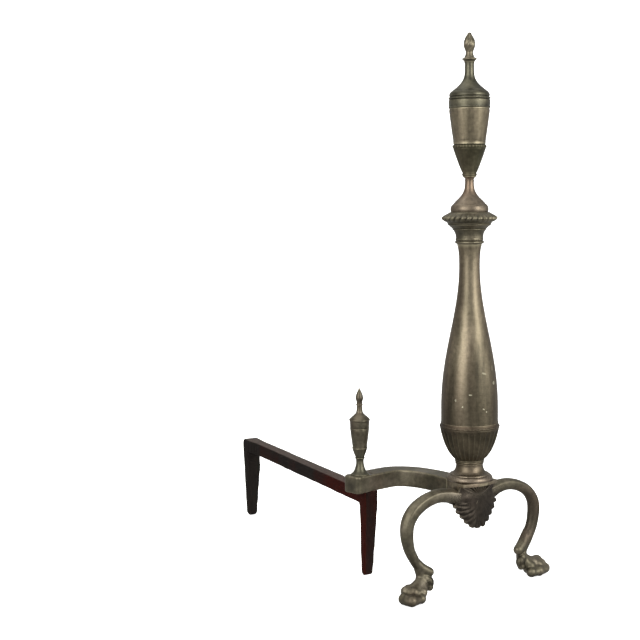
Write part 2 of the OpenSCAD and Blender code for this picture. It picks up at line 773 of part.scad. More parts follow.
// The shank's middle line in plan: back from the plinth, round the bend, then out
arm_line = smooth_line([
    [-arm_root_x, 8], [-arm_root_x - 0.4, 30], [-arm_root_x - 1.6, 52], [-arm_root_x - 5, 72],
    [-arm_root_x - 11.5, arm_back - 19], [-arm_root_x - 21.5, arm_back - 6.5], [-arm_root_x - 35, arm_back],
    [-arm_root_x - 54, arm_back - 0.12 * arm_return], [-arm_reach + 24, arm_end_y + 0.5 * arm_return],
    [-arm_reach, arm_end_y]], 4);

function side_step(p, i, w) =
    let (a = p[max(i - 1, 0)], b = p[min(i + 1, len(p) - 1)], d = (b - a) / norm(b - a))
    p[i] + w * [d[1], -d[0]];

module shank_plan() {
    p = arm_line;
    m = len(p);
    polygon(concat(
        [for (i = [0:m - 1]) side_step(p, i, arm_w / 2)],
        [for (i = [m - 1:-1:0]) side_step(p, i, -arm_w / 2)]));
}

module shank() {
    head_r = bar_screw_r + 2.8;
    end_r = 5;
    last = side_step(arm_line, len(arm_line) - 1, 0);
    lean = atan2(0.5 * arm_return, 24) * 0.9;
    color(brass)
        difference() {
            union() {
                // the full section stops against the plinth's round back
                translate([0, 0, arm_z])
                    linear_extrude(arm_h)
                        difference() {
                            shank_plan();
                            circle(r = plinth_r);
                        }
                translate([0, 0, tongue_z])
                    linear_extrude(tongue_h) {
                        circle(r = tongue_w / 2);
                        translate([-arm_root_x - tongue_w / 2, 0]) square([tongue_w, plinth_r + 3]);
                        translate([-arm_root_x, -tongue_w / 2 + 3]) square([arm_root_x + 3, tongue_w - 3]);
                    }
            }
            translate([0, 0, tongue_z - 1]) cylinder(r = bore_r, h = tongue_h + 2);
            translate([-stop_x, stop_y, arm_z + 3]) cylinder(r = stop_stud_r + thread_gap, h = arm_h);
            translate([-bar_x, bar_y, arm_z - 1]) cylinder(r = bar_screw_r + rod_gap, h = arm_h + 2);
            translate([-bar_x, bar_y, plinth_top - 3]) cylinder(r1 = bar_screw_r + rod_gap, r2 = head_r + rod_gap, h = 3.05);
            // rounded upright corners at the outer end
            translate([last[0], last[1], arm_z - 1])
                rotate([0, 0, lean])
                    for (side = [-1, 1])
                        translate([end_r, side * (arm_w / 2 - end_r), 0])
                            difference() {
                                translate([-end_r - 2, side > 0 ? 0 : -end_r - 2, 0]) cube([end_r + 2, end_r + 2, arm_h + 2]);
                                translate([0, 0, -1]) cylinder(r = end_r, h = arm_h + 4);
                            }
        }
}

// The bar seen from its side, with tapered legs and a rounded rear top corner
module bar_side() {
    t = bar_w / 2;
    q = bar_tip / 2;
    c = bar_corner;
    top = arm_z + bar_rise;
    low = bar_z + bar_rise;
    front = 1;
    rear = bar_len + 0.5;
    polygon(concat(
        [[-t, arm_z], [-t, bar_z]],
        [for (i = [0:6]) let (a = 180 + 30 * i) [front + q * cos(a), front_leg_gap + q + q * sin(a)]],
        [[t - 1, bar_z - 3], [t + 2, bar_z], [bar_len - t - 2, low], [bar_len - t + 1, low - 3]],
        [for (i = [0:6]) let (a = 180 + 30 * i) [rear + q * cos(a), q + q * sin(a)]],
        [[bar_len + t, low]],
        [for (i = [0:6]) let (a = 15 * i) [bar_len + t - c + c * cos(a), top - c + c * sin(a)]],
        [[arm_w, arm_z]]));
}

// The bar seen from its end: full width above, legs drawn in and outward to the floor
module bar_front() {
    t = bar_w / 2;
    q = bar_tip / 2;
    lean = -1.5;
    polygon([[-t, arm_z + 20], [-t, bar_z], [lean - q, 4], [lean - q + 2, -1], [lean + q - 2, -1],
        [lean + q, 4], [t, bar_z], [t, arm_z + 20]]);
}

module billet_bar() {
    color(iron)
        difference() {
            translate([-bar_x, bar_y, 0])
                rotate([0, 0, -bar_angle])
                    intersection() {
                        rotate([90, 0, 90])
                            translate([0, 0, -bar_w / 2 - 1])
                                linear_extrude(bar_w + 2) bar_side();
                        translate([0, bar_len + bar_w, 0])
                            rotate([90, 0, 0])
                                linear_extrude(bar_len + 2 * bar_w) bar_front();
                    }
            translate([-bar_x, bar_y, bar_z - 1]) cylinder(r = bar_screw_r + thread_gap, h = bar_h + 2);
        }
}

module bar_screw() {
    head_r = bar_screw_r + 2.8;
    color(steel)
        translate([-bar_x, bar_y, 0]) {
            translate([0, 0, bar_z]) cylinder(r = bar_screw_r, h = plinth_top - 3 - bar_z);
            translate([0, 0, plinth_top - 3]) cylinder(r1 = bar_screw_r, r2 = head_r, h = 3);
        }
}

module log_stop() {
    h = stop_h;
    s = stop_shoulder_r;
    f = stop_foot_r;
    g = stop_ring_r;
    n = stop_stem_r;
    color(brass)
        translate([-stop_x, stop_y, 0])
            difference() {
                turned(plinth_top, concat(
                    [[f - 0.6, 0], [f, 1], [f, 2.2]],
                    bow([f - 0.8, 2.8], [n + 1.6, 5.5], [n, 15], 7),
                    [[n - 0.2, 19], [n + 0.2, 21]],
                    arc(n + 0.2, 22.6, 1, -80, 80, 4),
                    bow([n + 0.4, 24], [g - 2.2, 28], [g - 0.6, 33.6], 4),
                    arc(g - 0.9, 35.6, 0.9, -70, 80, 4),
                    bow([g - 0.8, 37], [s - 2.2, 50], [s - 1.2, 59.6], 5),
                    arc(s - 1.4, 61, 0.8, -80, 80, 4),
                    [[s - 1, 62.4], [s - 0.5, 69]],
                    arc(s - 0.8, 71, 0.8, -60, 60, 3),
                    bow([s - 0.6, 73], [6.4, 78], [4.2, 80.5], 4),
                    bow([4.2, 80.5], [3.2, 83.5], [3.1, 89], 4),
                    arc(3.2, 91, 0.8, -80, 80, 4),
                    [[3.3, 93.2], [3.4, 95.4]],
                    bow([4.0, 96], [4.5, 97], [4.3, 98.6], 3),
                    bow([4.3, 98.6], [3.6, 103], [1.2, h - 3.6], 4),
                    [[0.01, h]]), 0);
                translate([0, 0, plinth_top - 1]) cylinder(r = stop_stud_r + thread_gap, h = 12.5);
            }
}

module log_stop_stud() {
    color(steel)
        translate([-stop_x, stop_y, arm_z + 3])
            cylinder(r = stop_stud_r, h = arm_h - 3 + 11);
}

module placed() {
    translate([0, -origin_y, 0]) children();
}

placed() left_leg();
placed() right_leg();
placed() plinth();
placed() leg_screws();
placed() shell_apron();
placed() shell_screws();
placed() base_spool();
placed() fluted_cup();
placed() column();
placed() capital();
placed() urn_pedestal();
placed() urn_calyx();
placed() urn_body();
placed() urn_lid();
placed() flame_finial();
placed() urn_rod();
placed() tie_rod();
placed() tie_rod_washer();
placed() tie_rod_nut();
placed() shank();
placed() billet_bar();
placed() bar_screw();
placed() log_stop();
placed() log_stop_stud();
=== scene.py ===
import bpy
import bmesh
import math
from mathutils import Matrix, Vector


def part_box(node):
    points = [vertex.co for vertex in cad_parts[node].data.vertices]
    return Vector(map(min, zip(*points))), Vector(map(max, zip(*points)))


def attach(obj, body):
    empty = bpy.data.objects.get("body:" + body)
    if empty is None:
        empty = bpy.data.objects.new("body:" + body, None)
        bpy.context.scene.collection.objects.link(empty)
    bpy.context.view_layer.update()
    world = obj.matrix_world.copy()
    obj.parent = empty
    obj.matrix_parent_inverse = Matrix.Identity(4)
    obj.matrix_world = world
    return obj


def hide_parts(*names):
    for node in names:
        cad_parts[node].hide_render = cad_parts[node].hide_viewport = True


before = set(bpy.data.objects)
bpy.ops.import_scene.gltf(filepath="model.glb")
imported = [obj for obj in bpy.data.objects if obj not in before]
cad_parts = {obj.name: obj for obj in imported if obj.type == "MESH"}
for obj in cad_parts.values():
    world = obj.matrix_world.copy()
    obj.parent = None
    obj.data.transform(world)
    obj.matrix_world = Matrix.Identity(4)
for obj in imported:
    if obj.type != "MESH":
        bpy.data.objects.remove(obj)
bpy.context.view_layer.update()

mm = 0.001
postY = sum(corner.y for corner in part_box("column")) / 2  # the post stands on x = 0


def fromPost(x, y, z):  # millimetres from the post's axis and from the floor, to metres in the frame
    return Vector((x * mm, postY + y * mm, z * mm))


def startFresh():
    bpy.ops.object.select_all(action="DESELECT")
    bpy.context.scene.tool_settings.mesh_select_mode = (True, False, False)


def pickPiece(piece):
    startFresh()
    piece.select_set(True)
    bpy.context.view_layer.objects.active = piece


def editMode(piece):
    pickPiece(piece)
    bpy.ops.object.mode_set(mode="EDIT")


def objectMode():
    bpy.ops.object.mode_set(mode="OBJECT")


def pickAll():
    bpy.ops.mesh.select_all(action="SELECT")


def pickPoints(piece, indices):
    bpy.ops.mesh.select_all(action="DESELECT")
    mesh = bmesh.from_edit_mesh(piece.data)
    mesh.verts.ensure_lookup_table()
    for i in indices:
        mesh.verts[i].select = True
    mesh.select_flush(True)
    bmesh.update_edit_mesh(piece.data)


def cleanSkin():  # closes the seam and the poles, and points the faces outwards
    pickAll()
    bpy.ops.mesh.remove_doubles(threshold=0.003 * mm)
    bpy.ops.mesh.dissolve_degenerate(threshold=0.001 * mm)
    bpy.ops.mesh.normals_make_consistent(inside=False)


def smoothShade(piece, angle):
    pickPiece(piece)
    bpy.ops.object.shade_smooth_by_angle(angle=math.radians(angle))


def addModifier(piece, kind, **settings):  # a modifier that is applied at once
    pickPiece(piece)
    modifier = piece.modifiers.new(kind.lower(), kind)
    for key, value in settings.items():
        setattr(modifier, key, value)
    bpy.ops.object.modifier_apply(modifier=modifier.name)


def joinPieces(name, pieces):
    startFresh()
    for piece in pieces:
        piece.select_set(True)
    bpy.context.view_layer.objects.active = pieces[0]
    bpy.ops.object.join()
    joined = bpy.context.object
    bpy.ops.object.transform_apply()
    joined.name = joined.data.name = name
    return joined


def finishPiece(piece, node, finish, angle=32):  # shaded smooth up to that angle between faces
    smoothShade(piece, angle)
    piece.data.materials.clear()
    piece.data.materials.append(finish)
    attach(piece, "root")
    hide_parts(node)


# The turner's drawing: an outline is a list of (radius, height), in millimetres
def bowAt(start, corner, end, t):
    return tuple((1 - t) ** 2 * a + 2 * t * (1 - t) * b + t * t * c for a, b, c in zip(start, corner, end))


def bow(start, corner, end, n=8):  # from start to end, drawn towards the corner
    return [bowAt(start, corner, end, (i + 1) / n) for i in range(n)]


def bead(radius, height, size, low=-80, high=80, n=8):  # a round moulding, from low to high in degrees
    turns = [math.radians(low + (high - low) * i / n) for i in range(n + 1)]
    return [(radius + size * math.cos(a), height + size * math.sin(a)) for a in turns]


def smoothLine(points, n):  # through the points, in n steps from each to the next
    line = []
    for i in range(len(points) - 1):
        a, b, c, d = (Vector(points[min(max(k, 0), len(points) - 1)]) for k in (i - 1, i, i + 1, i + 2))
        for k in range(n):
            t = k / n
            line.append(0.5 * (2 * b + (c - a) * t + (2 * a - 5 * b + 4 * c - d) * t * t
                               + (3 * b - a - 3 * c + d) * t ** 3))
    return line + [Vector(points[-1])]


def ease(t):  # from 0 to 1, slow at both ends
    t = min(max(t, 0), 1)
    return t * t * (3 - 2 * t)


# A turned piece: one point is drawn out along the outline, and the line is spun round
def turnPiece(name, bottom, outline, steps=128, middle=(0, 0)):
    startFresh()
    bpy.ops.mesh.primitive_plane_add(size=mm)
    piece = bpy.context.object
    piece.name = piece.data.name = name
    editMode(piece)
    pickAll()
    bpy.ops.mesh.merge(type="CENTER")
    points = [fromPost(middle[0] + r, middle[1], bottom + z) for r, z in outline]
    bpy.ops.transform.translate(value=points[0])
    for here, there in zip(points, points[1:]):
        bpy.ops.mesh.extrude_region_move(TRANSFORM_OT_translate={"value": there - here})
    pickAll()
    bpy.ops.mesh.spin(steps=steps, angle=2 * math.pi, center=fromPost(*middle, 0), axis=(0, 0, 1))
    cleanSkin()
    objectMode()
    return piece


# Draws columns of points in or out, row by row: rows of (height, depth of each column, turn in degrees). The pattern
# comes count times round the piece, with per columns each time, and leaves what is nearer to the axis than least
def carveColumns(piece, rows, count, per, middle=(0, 0), least=6):
    editMode(piece)
    mesh = bmesh.from_edit_mesh(piece.data)
    axis = fromPost(*middle, 0)
    found = {}
    for vert in mesh.verts:
        away = vert.co - axis
        radius = math.hypot(away.x, away.y)
        if radius < least * mm:
            continue
        for row, (height, depths, turn) in enumerate(rows):
            if abs(vert.co.z - height * mm) < 0.01 * mm:
                column = round(math.atan2(away.y, away.x) / (2 * math.pi) * count * per) % per
                found.setdefault((row, column), []).append((vert.index, radius))
    for (row, column), points in found.items():
        depth = rows[row][1][column]
        if abs(depth) < 0.001:
            continue
        pickPoints(piece, [i for i, r in points])
        share = 1 - depth * mm / points[0][1]
        bpy.ops.transform.resize(value=(share, share, 1), center_override=(axis.x, axis.y, 0))
    for row, (height, depths, turn) in enumerate(rows):
        if turn:
            pickPoints(piece, [i for key, points in found.items() if key[0] == row for i, r in points])
            bpy.ops.transform.rotate(value=-math.radians(turn), orient_axis="Z", center_override=axis)
    objectMode()


def hexLinear(code):  # an sRGB hex value as linear colour
    parts = [int(code[i:i + 2], 16) / 255 for i in (0, 2, 4)]
    return [c / 12.92 if c <= 0.04045 else ((c + 0.055) / 1.055) ** 2.4 for c in parts] + [1]


def addNode(tree, kind, settings=None, links=None):
    node = tree.nodes.new("ShaderNode" + kind)
    for key, value in (settings or {}).items():
        if key == "stops":
            elements = node.color_ramp.elements
            while len(elements) < len(value):
                elements.new(0.5)
            for element, (place, shade) in zip(elements, value):
                element.position = place
                element.color = hexLinear(shade) if isinstance(shade, str) else [shade] * 3 + [1]
        elif isinstance(key, int) or key in node.inputs:
            node.inputs[key].default_value = hexLinear(value) if isinstance(value, str) else value
        else:
            setattr(node, key, value)
    for key, source in (links or {}).items():
        tree.links.new(source, node.inputs[key])
    return node


def newFinish(name):  # the material, its tree and shader, and the place on the piece
    finish = bpy.data.materials.new(name)
    finish.use_nodes = True
    tree = finish.node_tree
    return finish, tree, tree.nodes["Principled BSDF"], addNode(tree, "TexCoord").outputs["Object"]


def linkFinish(tree, shader, base, rough, bump):
    tree.links.new(base, shader.inputs["Base Color"])
    tree.links.new(rough.outputs[0], shader.inputs["Roughness"])
    tree.links.new(bump.outputs[0], shader.inputs["Normal"])


# Cast or spun yellow brass under years of brown-olive tarnish: satin, never yellow, dark in the
# recesses with grime and painted shade, and rubbed back to a pale straw colour on beads, rims and corners
def agedBrass(name, look):
    finish, tree, shader, place = newFinish(name)
    stretched = addNode(tree, "Mapping", {"Scale": (1, 1, look["stretch"])}, {"Vector": place}).outputs[0]
    clouds = addNode(tree, "TexNoise", {"Scale": 1 / (look["patch"] * mm), "Detail": 4, "Roughness": 0.6},
                     {"Vector": stretched}).outputs["Fac"]
    mottle = addNode(tree, "TexNoise", {"Scale": 1 / (look["mottle"] * mm), "Detail": 5, "Roughness": 0.65},
                     {"Vector": place}).outputs["Fac"]
    base = addNode(tree, "ValToRGB", {"stops": [(0.30, look["deep"]), (0.5, look["mid"]), (0.72, look["light"])]},
                   {"Fac": clouds}).outputs["Color"]
    # faint rose-brown blooms, as copper shows through
    blooms = addNode(tree, "TexNoise", {"Scale": 1 / (look["bloomSize"] * mm), "Detail": 2}, {"Vector": stretched})
    bloomShare = addNode(tree, "MapRange", {1: 0.5, 2: 0.7, 3: 0.0, 4: look["bloom"]}, {0: blooms.outputs["Fac"]})
    base = addNode(tree, "Mix", {"data_type": "RGBA", 7: look["rose"]},
                   {0: bloomShare.outputs[0], 6: base}).outputs[2]
    speck = addNode(tree, "MapRange", {1: 0.35, 2: 0.7, 3: 0.78, 4: 1.18}, {0: mottle})
    base = addNode(tree, "Mix", {"data_type": "RGBA", "blend_type": "MULTIPLY", 0: 1.0},
                   {6: base, 7: speck.outputs[0]}).outputs[2]
    # darker towards the bottom: from the upper of the two heights down to the lower one
    tall = addNode(tree, "SeparateXYZ", {}, {0: place}).outputs["Z"]
    darkerBelow = addNode(tree, "MapRange", {"interpolation_type": "SMOOTHSTEP", 1: look["darkerBelow"][0] * mm,
                                      2: look["darkerBelow"][1] * mm, 3: look["darkerBelow"][2], 4: 1.0}, {0: tall})
    base = addNode(tree, "Mix", {"data_type": "RGBA", "blend_type": "MULTIPLY", 0: 1.0},
                   {6: base, 7: darkerBelow.outputs[0]}).outputs[2]
    # bare metal on the high edges, broken up by the mottle; grime and painted shade in the hollows
    point = addNode(tree, "NewGeometry").outputs["Pointiness"]
    worn = addNode(tree, "MapRange", {1: look["wornFrom"], 2: look["wornTo"], 3: 0.0, 4: look["worn"]}, {0: point})
    worn = addNode(tree, "Math", {"operation": "MULTIPLY"}, {0: worn.outputs[0], 1: mottle})
    base = addNode(tree, "Mix", {"data_type": "RGBA", 7: look["bare"]}, {0: worn.outputs[0], 6: base}).outputs[2]
    hollow = addNode(tree, "AmbientOcclusion", {"samples": 6, "Distance": look["hollowReach"] * mm})
    grimeAndShade = addNode(tree, "MapRange", {1: 0.25, 2: 0.85, 3: look["grimeAndShade"], 4: 0.0}, {0: hollow.outputs["AO"]})
    base = addNode(tree, "Mix", {"data_type": "RGBA", 7: look["grimeAndShadeColour"]}, {0: grimeAndShade.outputs[0], 6: base}).outputs[2]
    rough = addNode(tree, "MapRange", {1: 0.3, 2: 0.75, 3: look["rough"][0], 4: look["rough"][1]}, {0: mottle})
    rough = addNode(tree, "Math", {"operation": "MULTIPLY_ADD", 1: 0.25}, {0: grimeAndShade.outputs[0], 2: rough.outputs[0]})
    chipEdge = 1.45  # in a knock's or patch's own sizes; the wobble takes about half a size from that
    for knockOrPatch in look.get("knocksAndPaintedPatches", []):  # small knocks with pale dust in them, and patches of painted shade and of painted light
        near = addNode(tree, "Mapping", {"vector_type": "TEXTURE", "Location": fromPost(*knockOrPatch["at"]),
                                         "Rotation": [math.radians(a) for a in knockOrPatch.get("turn", (0, 0, 0))],
                                         "Scale": [size * mm for size in knockOrPatch["size"]]}, {"Vector": place})
        wobble = addNode(tree, "TexNoise", {"Scale": 1 / (1.6 * mm), "Detail": 2}, {"Vector": place})
        reach = addNode(tree, "VectorMath", {"operation": "LENGTH"}, {0: near.outputs[0]})
        reach = addNode(tree, "Math", {"operation": "ADD"}, {0: reach.outputs["Value"], 1: wobble.outputs["Fac"]})
        knockOrPatchShare = addNode(tree, "MapRange", {1: chipEdge - knockOrPatch.get("fade", 0.3), 2: chipEdge, 3: knockOrPatch["strength"],
                                             4: 0.0}, {0: reach.outputs[0]})
        base = addNode(tree, "Mix", {"data_type": "RGBA", 7: knockOrPatch.get("shade", look["dust"])},
                       {0: knockOrPatchShare.outputs[0], 6: base}).outputs[2]
    # casting skin or lathe lines; 1.6 mm is coarser than the real ones, so that they show
    grain = addNode(tree, "TexNoise", {"Scale": 1 / (1.6 * mm), "Detail": 3}, {"Vector": place}).outputs["Fac"]
    lathe = addNode(tree, "TexWave", {"bands_direction": "Z", "Scale": 0.314 / (2.2 * mm), "Distortion": 0.6,
                                      "Detail": 1}, {"Vector": place}).outputs["Fac"]
    relief = addNode(tree, "Math", {"operation": "MULTIPLY_ADD", 1: look["lathe"]}, {0: lathe, 2: grain})
    bump = addNode(tree, "Bump", {"Strength": look["bump"], "Distance": 0.25 * mm}, {"Height": relief.outputs[0]})
    linkFinish(tree, shader, base, rough, bump)
    shader.inputs["Metallic"].default_value = 1.0
    return finish


# Patches, mottle, blooms and the reach of the grime and painted shade are in millimetres. The darkening below is
# two heights above the floor, and how dark the brass is at the lower one. A knock, or a patch of painted shade or
# light, has its place from the post's axis, its size, and a turn in degrees
castLook = dict(stretch=1, patch=38, mottle=5, bloomSize=60, deep="4c483f", mid="6c6655", light="898070",
                rose="7a6759", bloom=0.5, bare="c2b899", wornFrom=0.515, wornTo=0.6, worn=1.1, grimeAndShadeColour="211e19",
                grimeAndShade=0.8, hollowReach=9, rough=(0.42, 0.58), bump=0.35, lathe=0.0, dust="cbc5aa", darkerBelow=(0, 0.001, 1))
turnedLook = dict(castLook, lathe=0.5, bump=0.2, rough=(0.38, 0.5), light="857b69")
footLook = dict(turnedLook, deep="5a5145", mid="766b5b", light="978a78", rose="85715f", bloom=0.7)
flutedLook = dict(castLook, deep="37332a", mid="4b4538", light="655c4b", grimeAndShade=0.85, hollowReach=7, bare="aca185")
calyxLook = dict(flutedLook, deep="454233", mid="575442", light="6e6a54", bloom=0.2, grimeAndShade=0.4)
stopLook = dict(turnedLook, deep="45433a", mid="5f5c4d", light="7b7664", bloom=0.35)
shellLook = dict(flutedLook, deep="332f2a", mid="423c35", light="544d44", rose="51463f", grimeAndShade=0.35, worn=1.6,
                 wornFrom=0.52, wornTo=0.575, bare="8a8170", knocksAndPaintedPatches=[  # painted light over the short flutes in the ledge's shade
    dict(at=(-4, -20, 127), size=(24, 24, 12), strength=0.55, fade=0.9, shade="857b6b")])
columnChips = [
    dict(at=(-21.5, -26.6, 247.9), size=(3.6, 3.0, 0.85), turn=(0, -24, 50), strength=0.9),
    dict(at=(-32.4, -12.1, 240.5), size=(1.4, 1.4, 2.2), strength=0.6),
    dict(at=(-28.3, -20.3, 233.0), size=(1.1, 1.1, 1.1), strength=0.85),
    dict(at=(-6.8, -34.1, 229.7), size=(2.2, 1.6, 0.8), turn=(0, 20, 0), strength=0.75),
    dict(at=(-2.8, -34.8, 226.2), size=(1.1, 1.1, 1.1), strength=0.75),
    dict(at=(11.4, -31.2, 260.2), size=(2.6, 2.2, 2.8), turn=(0, 30, 0), strength=0.75),
    dict(at=(10.6, -29.0, 278.0), size=(2.2, 2.0, 4.4), turn=(0, 10, 0), strength=0.25),
    dict(at=(-3.6, -31.4, 273.0), size=(4.2, 2.4, 1.4), turn=(0, 15, 0), strength=0.22)]
# the column is darker towards its foot, from 330 mm down to 205 mm above the floor
columnLook = dict(turnedLook, stretch=0.1, patch=20, knocksAndPaintedPatches=columnChips, deep="4b463a", mid="766d5a",
                  light="988c76", bloom=0.7, darkerBelow=(205, 330, 0.62))
legLook = dict(castLook, knocksAndPaintedPatches=[  # painted shade under the roots, on the right knee's outer side and the heels; left ankle darker
    dict(at=(0, -16, 103), size=(66, 80, 30), strength=1.0, fade=0.5, shade="2d2924"),
    dict(at=(104, -4, 78), size=(32, 40, 62), strength=0.75, fade=0.7, shade="3d3932"),
    dict(at=(-90, -2, 46), size=(18, 24, 22), strength=0.5, fade=0.6, shade="38342c"),
    dict(at=(-75, -12, 20), size=(10, 11, 12), strength=0.75, fade=0.4, shade="25221d"),
    dict(at=(75, -12, 20), size=(9, 10, 11), strength=0.6, fade=0.4, shade="2a2621")])
spoolLook = dict(turnedLook, deep="463f35", mid="625848", light="7a6f5e", knocksAndPaintedPatches=[  # painted highlight on the torus
    dict(at=(0, 0, 139), size=(46, 46, 9), strength=0.75, fade=0.6, shade="a09282")])
castBrass = agedBrass("castBrassTarnished", castLook)
legBrass = agedBrass("castBrassLegs", legLook)
turnedBrass = agedBrass("turnedBrassSatin", turnedLook)
footBrass = agedBrass("turnedBrassRosy", footLook)
spoolBrass = agedBrass("turnedBrassSpool", spoolLook)
flutedBrass = agedBrass("flutedBrassDark", flutedLook)
columnBrass = agedBrass("spunBrassColumn", columnLook)
# the shell's brass is darker than the cup's all over
shellBrass = agedBrass("shellBrassDarker", shellLook)
calyxBrass = agedBrass("calyxBrassOlive", calyxLook)
stopBrass = agedBrass("stopBrassOlive", stopLook)
print("brass finishes made")


# Forged iron bar, brushed with oxblood and black hearth paint, and paler grey on the faces that look up
def hearthPaint(name, look):
    finish, tree, shader, place = newFinish(name)
    brushed = addNode(tree, "Mapping", {"Scale": (1, look["stretch"], look["stretch"])}, {"Vector": place})
    clouds = addNode(tree, "TexNoise", {"Scale": 1 / (look["patch"] * mm), "Detail": 5, "Roughness": 0.6},
                     {"Vector": brushed.outputs[0]}).outputs["Fac"]
    grain = addNode(tree, "TexNoise", {"Scale": 1 / (3 * mm), "Detail": 6, "Roughness": 0.7},
                    {"Vector": place}).outputs["Fac"]
    parts = addNode(tree, "SeparateXYZ", {}, {0: place})
    # the red coat shows at both ends of the bar and down the front leg, and soot hides it between
    along = addNode(tree, "MapRange", {1: postY + look["run"][0] * mm, 2: postY + look["run"][1] * mm, 3: 0.0, 4: 1.0},
                    {0: parts.outputs["Y"]})
    ends = addNode(tree, "ValToRGB", {"stops": [(0.0, 0.95), (0.22, 0.85), (0.42, 0.25), (0.62, 0.3),
                                                (0.84, 0.48), (1.0, 0.2)]}, {"Fac": along.outputs[0]})
    share = addNode(tree, "Math", {"operation": "MULTIPLY_ADD", 1: look["spread"], 2: -0.5 * look["spread"]},
                    {0: clouds})
    share = addNode(tree, "Math", {"operation": "ADD", "use_clamp": True}, {0: share.outputs[0], 1: ends.outputs[0]})
    # the faces that look forward, out of the hearth, are darker
    facing = addNode(tree, "SeparateXYZ", {}, {0: addNode(tree, "NewGeometry").outputs["Normal"]})
    front = addNode(tree, "MapRange", {1: -0.95, 2: -0.6, 3: -0.42, 4: 0.0}, {0: facing.outputs["Y"]})
    share = addNode(tree, "Math", {"operation": "ADD"}, {0: share.outputs[0], 1: front.outputs[0]})
    share = addNode(tree, "MapRange", {1: 0.3, 2: 0.75}, {0: share.outputs[0]})
    base = addNode(tree, "Mix", {"data_type": "RGBA", 6: look["soot"], 7: look["red"]},
                   {0: share.outputs[0]}).outputs[2]
    speck = addNode(tree, "MapRange", {1: 0.3, 2: 0.75, 3: 0.7, 4: 1.3}, {0: grain})
    base = addNode(tree, "Mix", {"data_type": "RGBA", "blend_type": "MULTIPLY", 0: 1.0},
                   {6: base, 7: speck.outputs[0]}).outputs[2]
    # the faces that look up are paler grey
    paleTop = addNode(tree, "MapRange", {1: 0.6, 2: 1.0, 3: 0.0, 4: look["paleTop"]}, {0: facing.outputs["Z"]})
    paleTop = addNode(tree, "Math", {"operation": "MULTIPLY"}, {0: paleTop.outputs[0], 1: grain})
    base = addNode(tree, "Mix", {"data_type": "RGBA", 7: look["grey"]}, {0: paleTop.outputs[0], 6: base}).outputs[2]
    rough = addNode(tree, "MapRange", {1: 0.3, 2: 0.7, 3: look["rough"][0], 4: look["rough"][1]}, {0: grain})
    bump = addNode(tree, "Bump", {"Strength": 0.45, "Distance": 0.4 * mm}, {"Height": grain})
    linkFinish(tree, shader, base, rough, bump)
    shader.inputs["Specular IOR Level"].default_value = look["shine"]
    return finish


# Run is where the pattern of red and soot starts and ends, in millimetres behind the post
barPaint = hearthPaint("oxbloodHearthPaint", dict(
    stretch=0.35, patch=26, spread=1.1, run=(100, 480), soot="151210", red="230905", grey="625852", paleTop=0.9,
    rough=(0.55, 0.7), shine=0.02))


# Plain bright-turned steel of the hidden rods, nuts and screws: fine rings from the lathe
def turnedSteel(name):
    finish, tree, shader, place = newFinish(name)
    spots = addNode(tree, "TexNoise", {"Scale": 1 / (4 * mm), "Detail": 4}, {"Vector": place}).outputs["Fac"]
    base = addNode(tree, "ValToRGB", {"stops": [(0.35, "5d5a57"), (0.7, "8b8986")]}, {"Fac": spots})
    rough = addNode(tree, "MapRange", {3: 0.3, 4: 0.5}, {0: spots})
    rings = addNode(tree, "TexWave", {"bands_direction": "Z", "Scale": 0.314 / (1.2 * mm)}, {"Vector": place})
    bump = addNode(tree, "Bump", {"Strength": 0.15, "Distance": 0.1 * mm}, {"Height": rings.outputs["Fac"]})
    linkFinish(tree, shader, base.outputs["Color"], rough, bump)
    shader.inputs["Metallic"].default_value = 1.0
    return finish


rodSteel = turnedSteel("turnedSteelRods")
for node in ("tie_rod", "tie_rod_washer", "tie_rod_nut", "urn_rod", "leg_screws", "shell_screws",
             "bar_screw", "log_stop_stud"):
    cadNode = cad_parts[node]
    cadNode.data.materials.clear()
    cadNode.data.materials.append(rodSteel)
print("iron and steel finishes made")

# The post, from the plinth up. A level is the height of a piece's foot above the floor
level = dict(plinth=136, cup=161, column=203, capital=430, pedestal=469, calyx=512, body=552, lid=595, flame=651)
bore = 4.3  # round the tie rod
urnBore = 2.8  # round the urn's own rod


def ringUp(outline, hole):  # closes an outline round its bore
    return [(hole, outline[0][1])] + outline + [(hole, outline[-1][1]), (hole, outline[0][1])]


spool = dict(foot=28.8, neck=16.8, crown=18.2, height=25)
foot, neck, crown, tall = spool.values()
spoolPiece = turnPiece("base_spool_turned", level["plinth"], ringUp(
    [(foot - 1.4, 0)] + bow((foot - 0.9, 0.2), (foot + 0.9, 2.2), (foot - 0.9, 5.0), 10)
    + bow((foot - 0.9, 5.0), (foot - 2.0, 6.7), (foot - 3.6, 6.9), 6)
    + [(foot - 4.1, 7.0), (foot - 4.3, 7.4), (foot - 4.4, 8.2)]
    + bow((foot - 4.7, 8.4), (neck + 1.2, 9.4), (neck, 18.2), 18) + [(neck, tall - 5.0)]
    + bead(neck + 0.15, tall - 3.9, 0.8, -75, 75, 6) + [(neck + 0.35, tall - 2.9)]
    + bead(crown - 0.9, tall - 1.5, 0.9) + [(crown - 1.35, tall)], bore))
finishPiece(spoolPiece, "base_spool", spoolBrass)

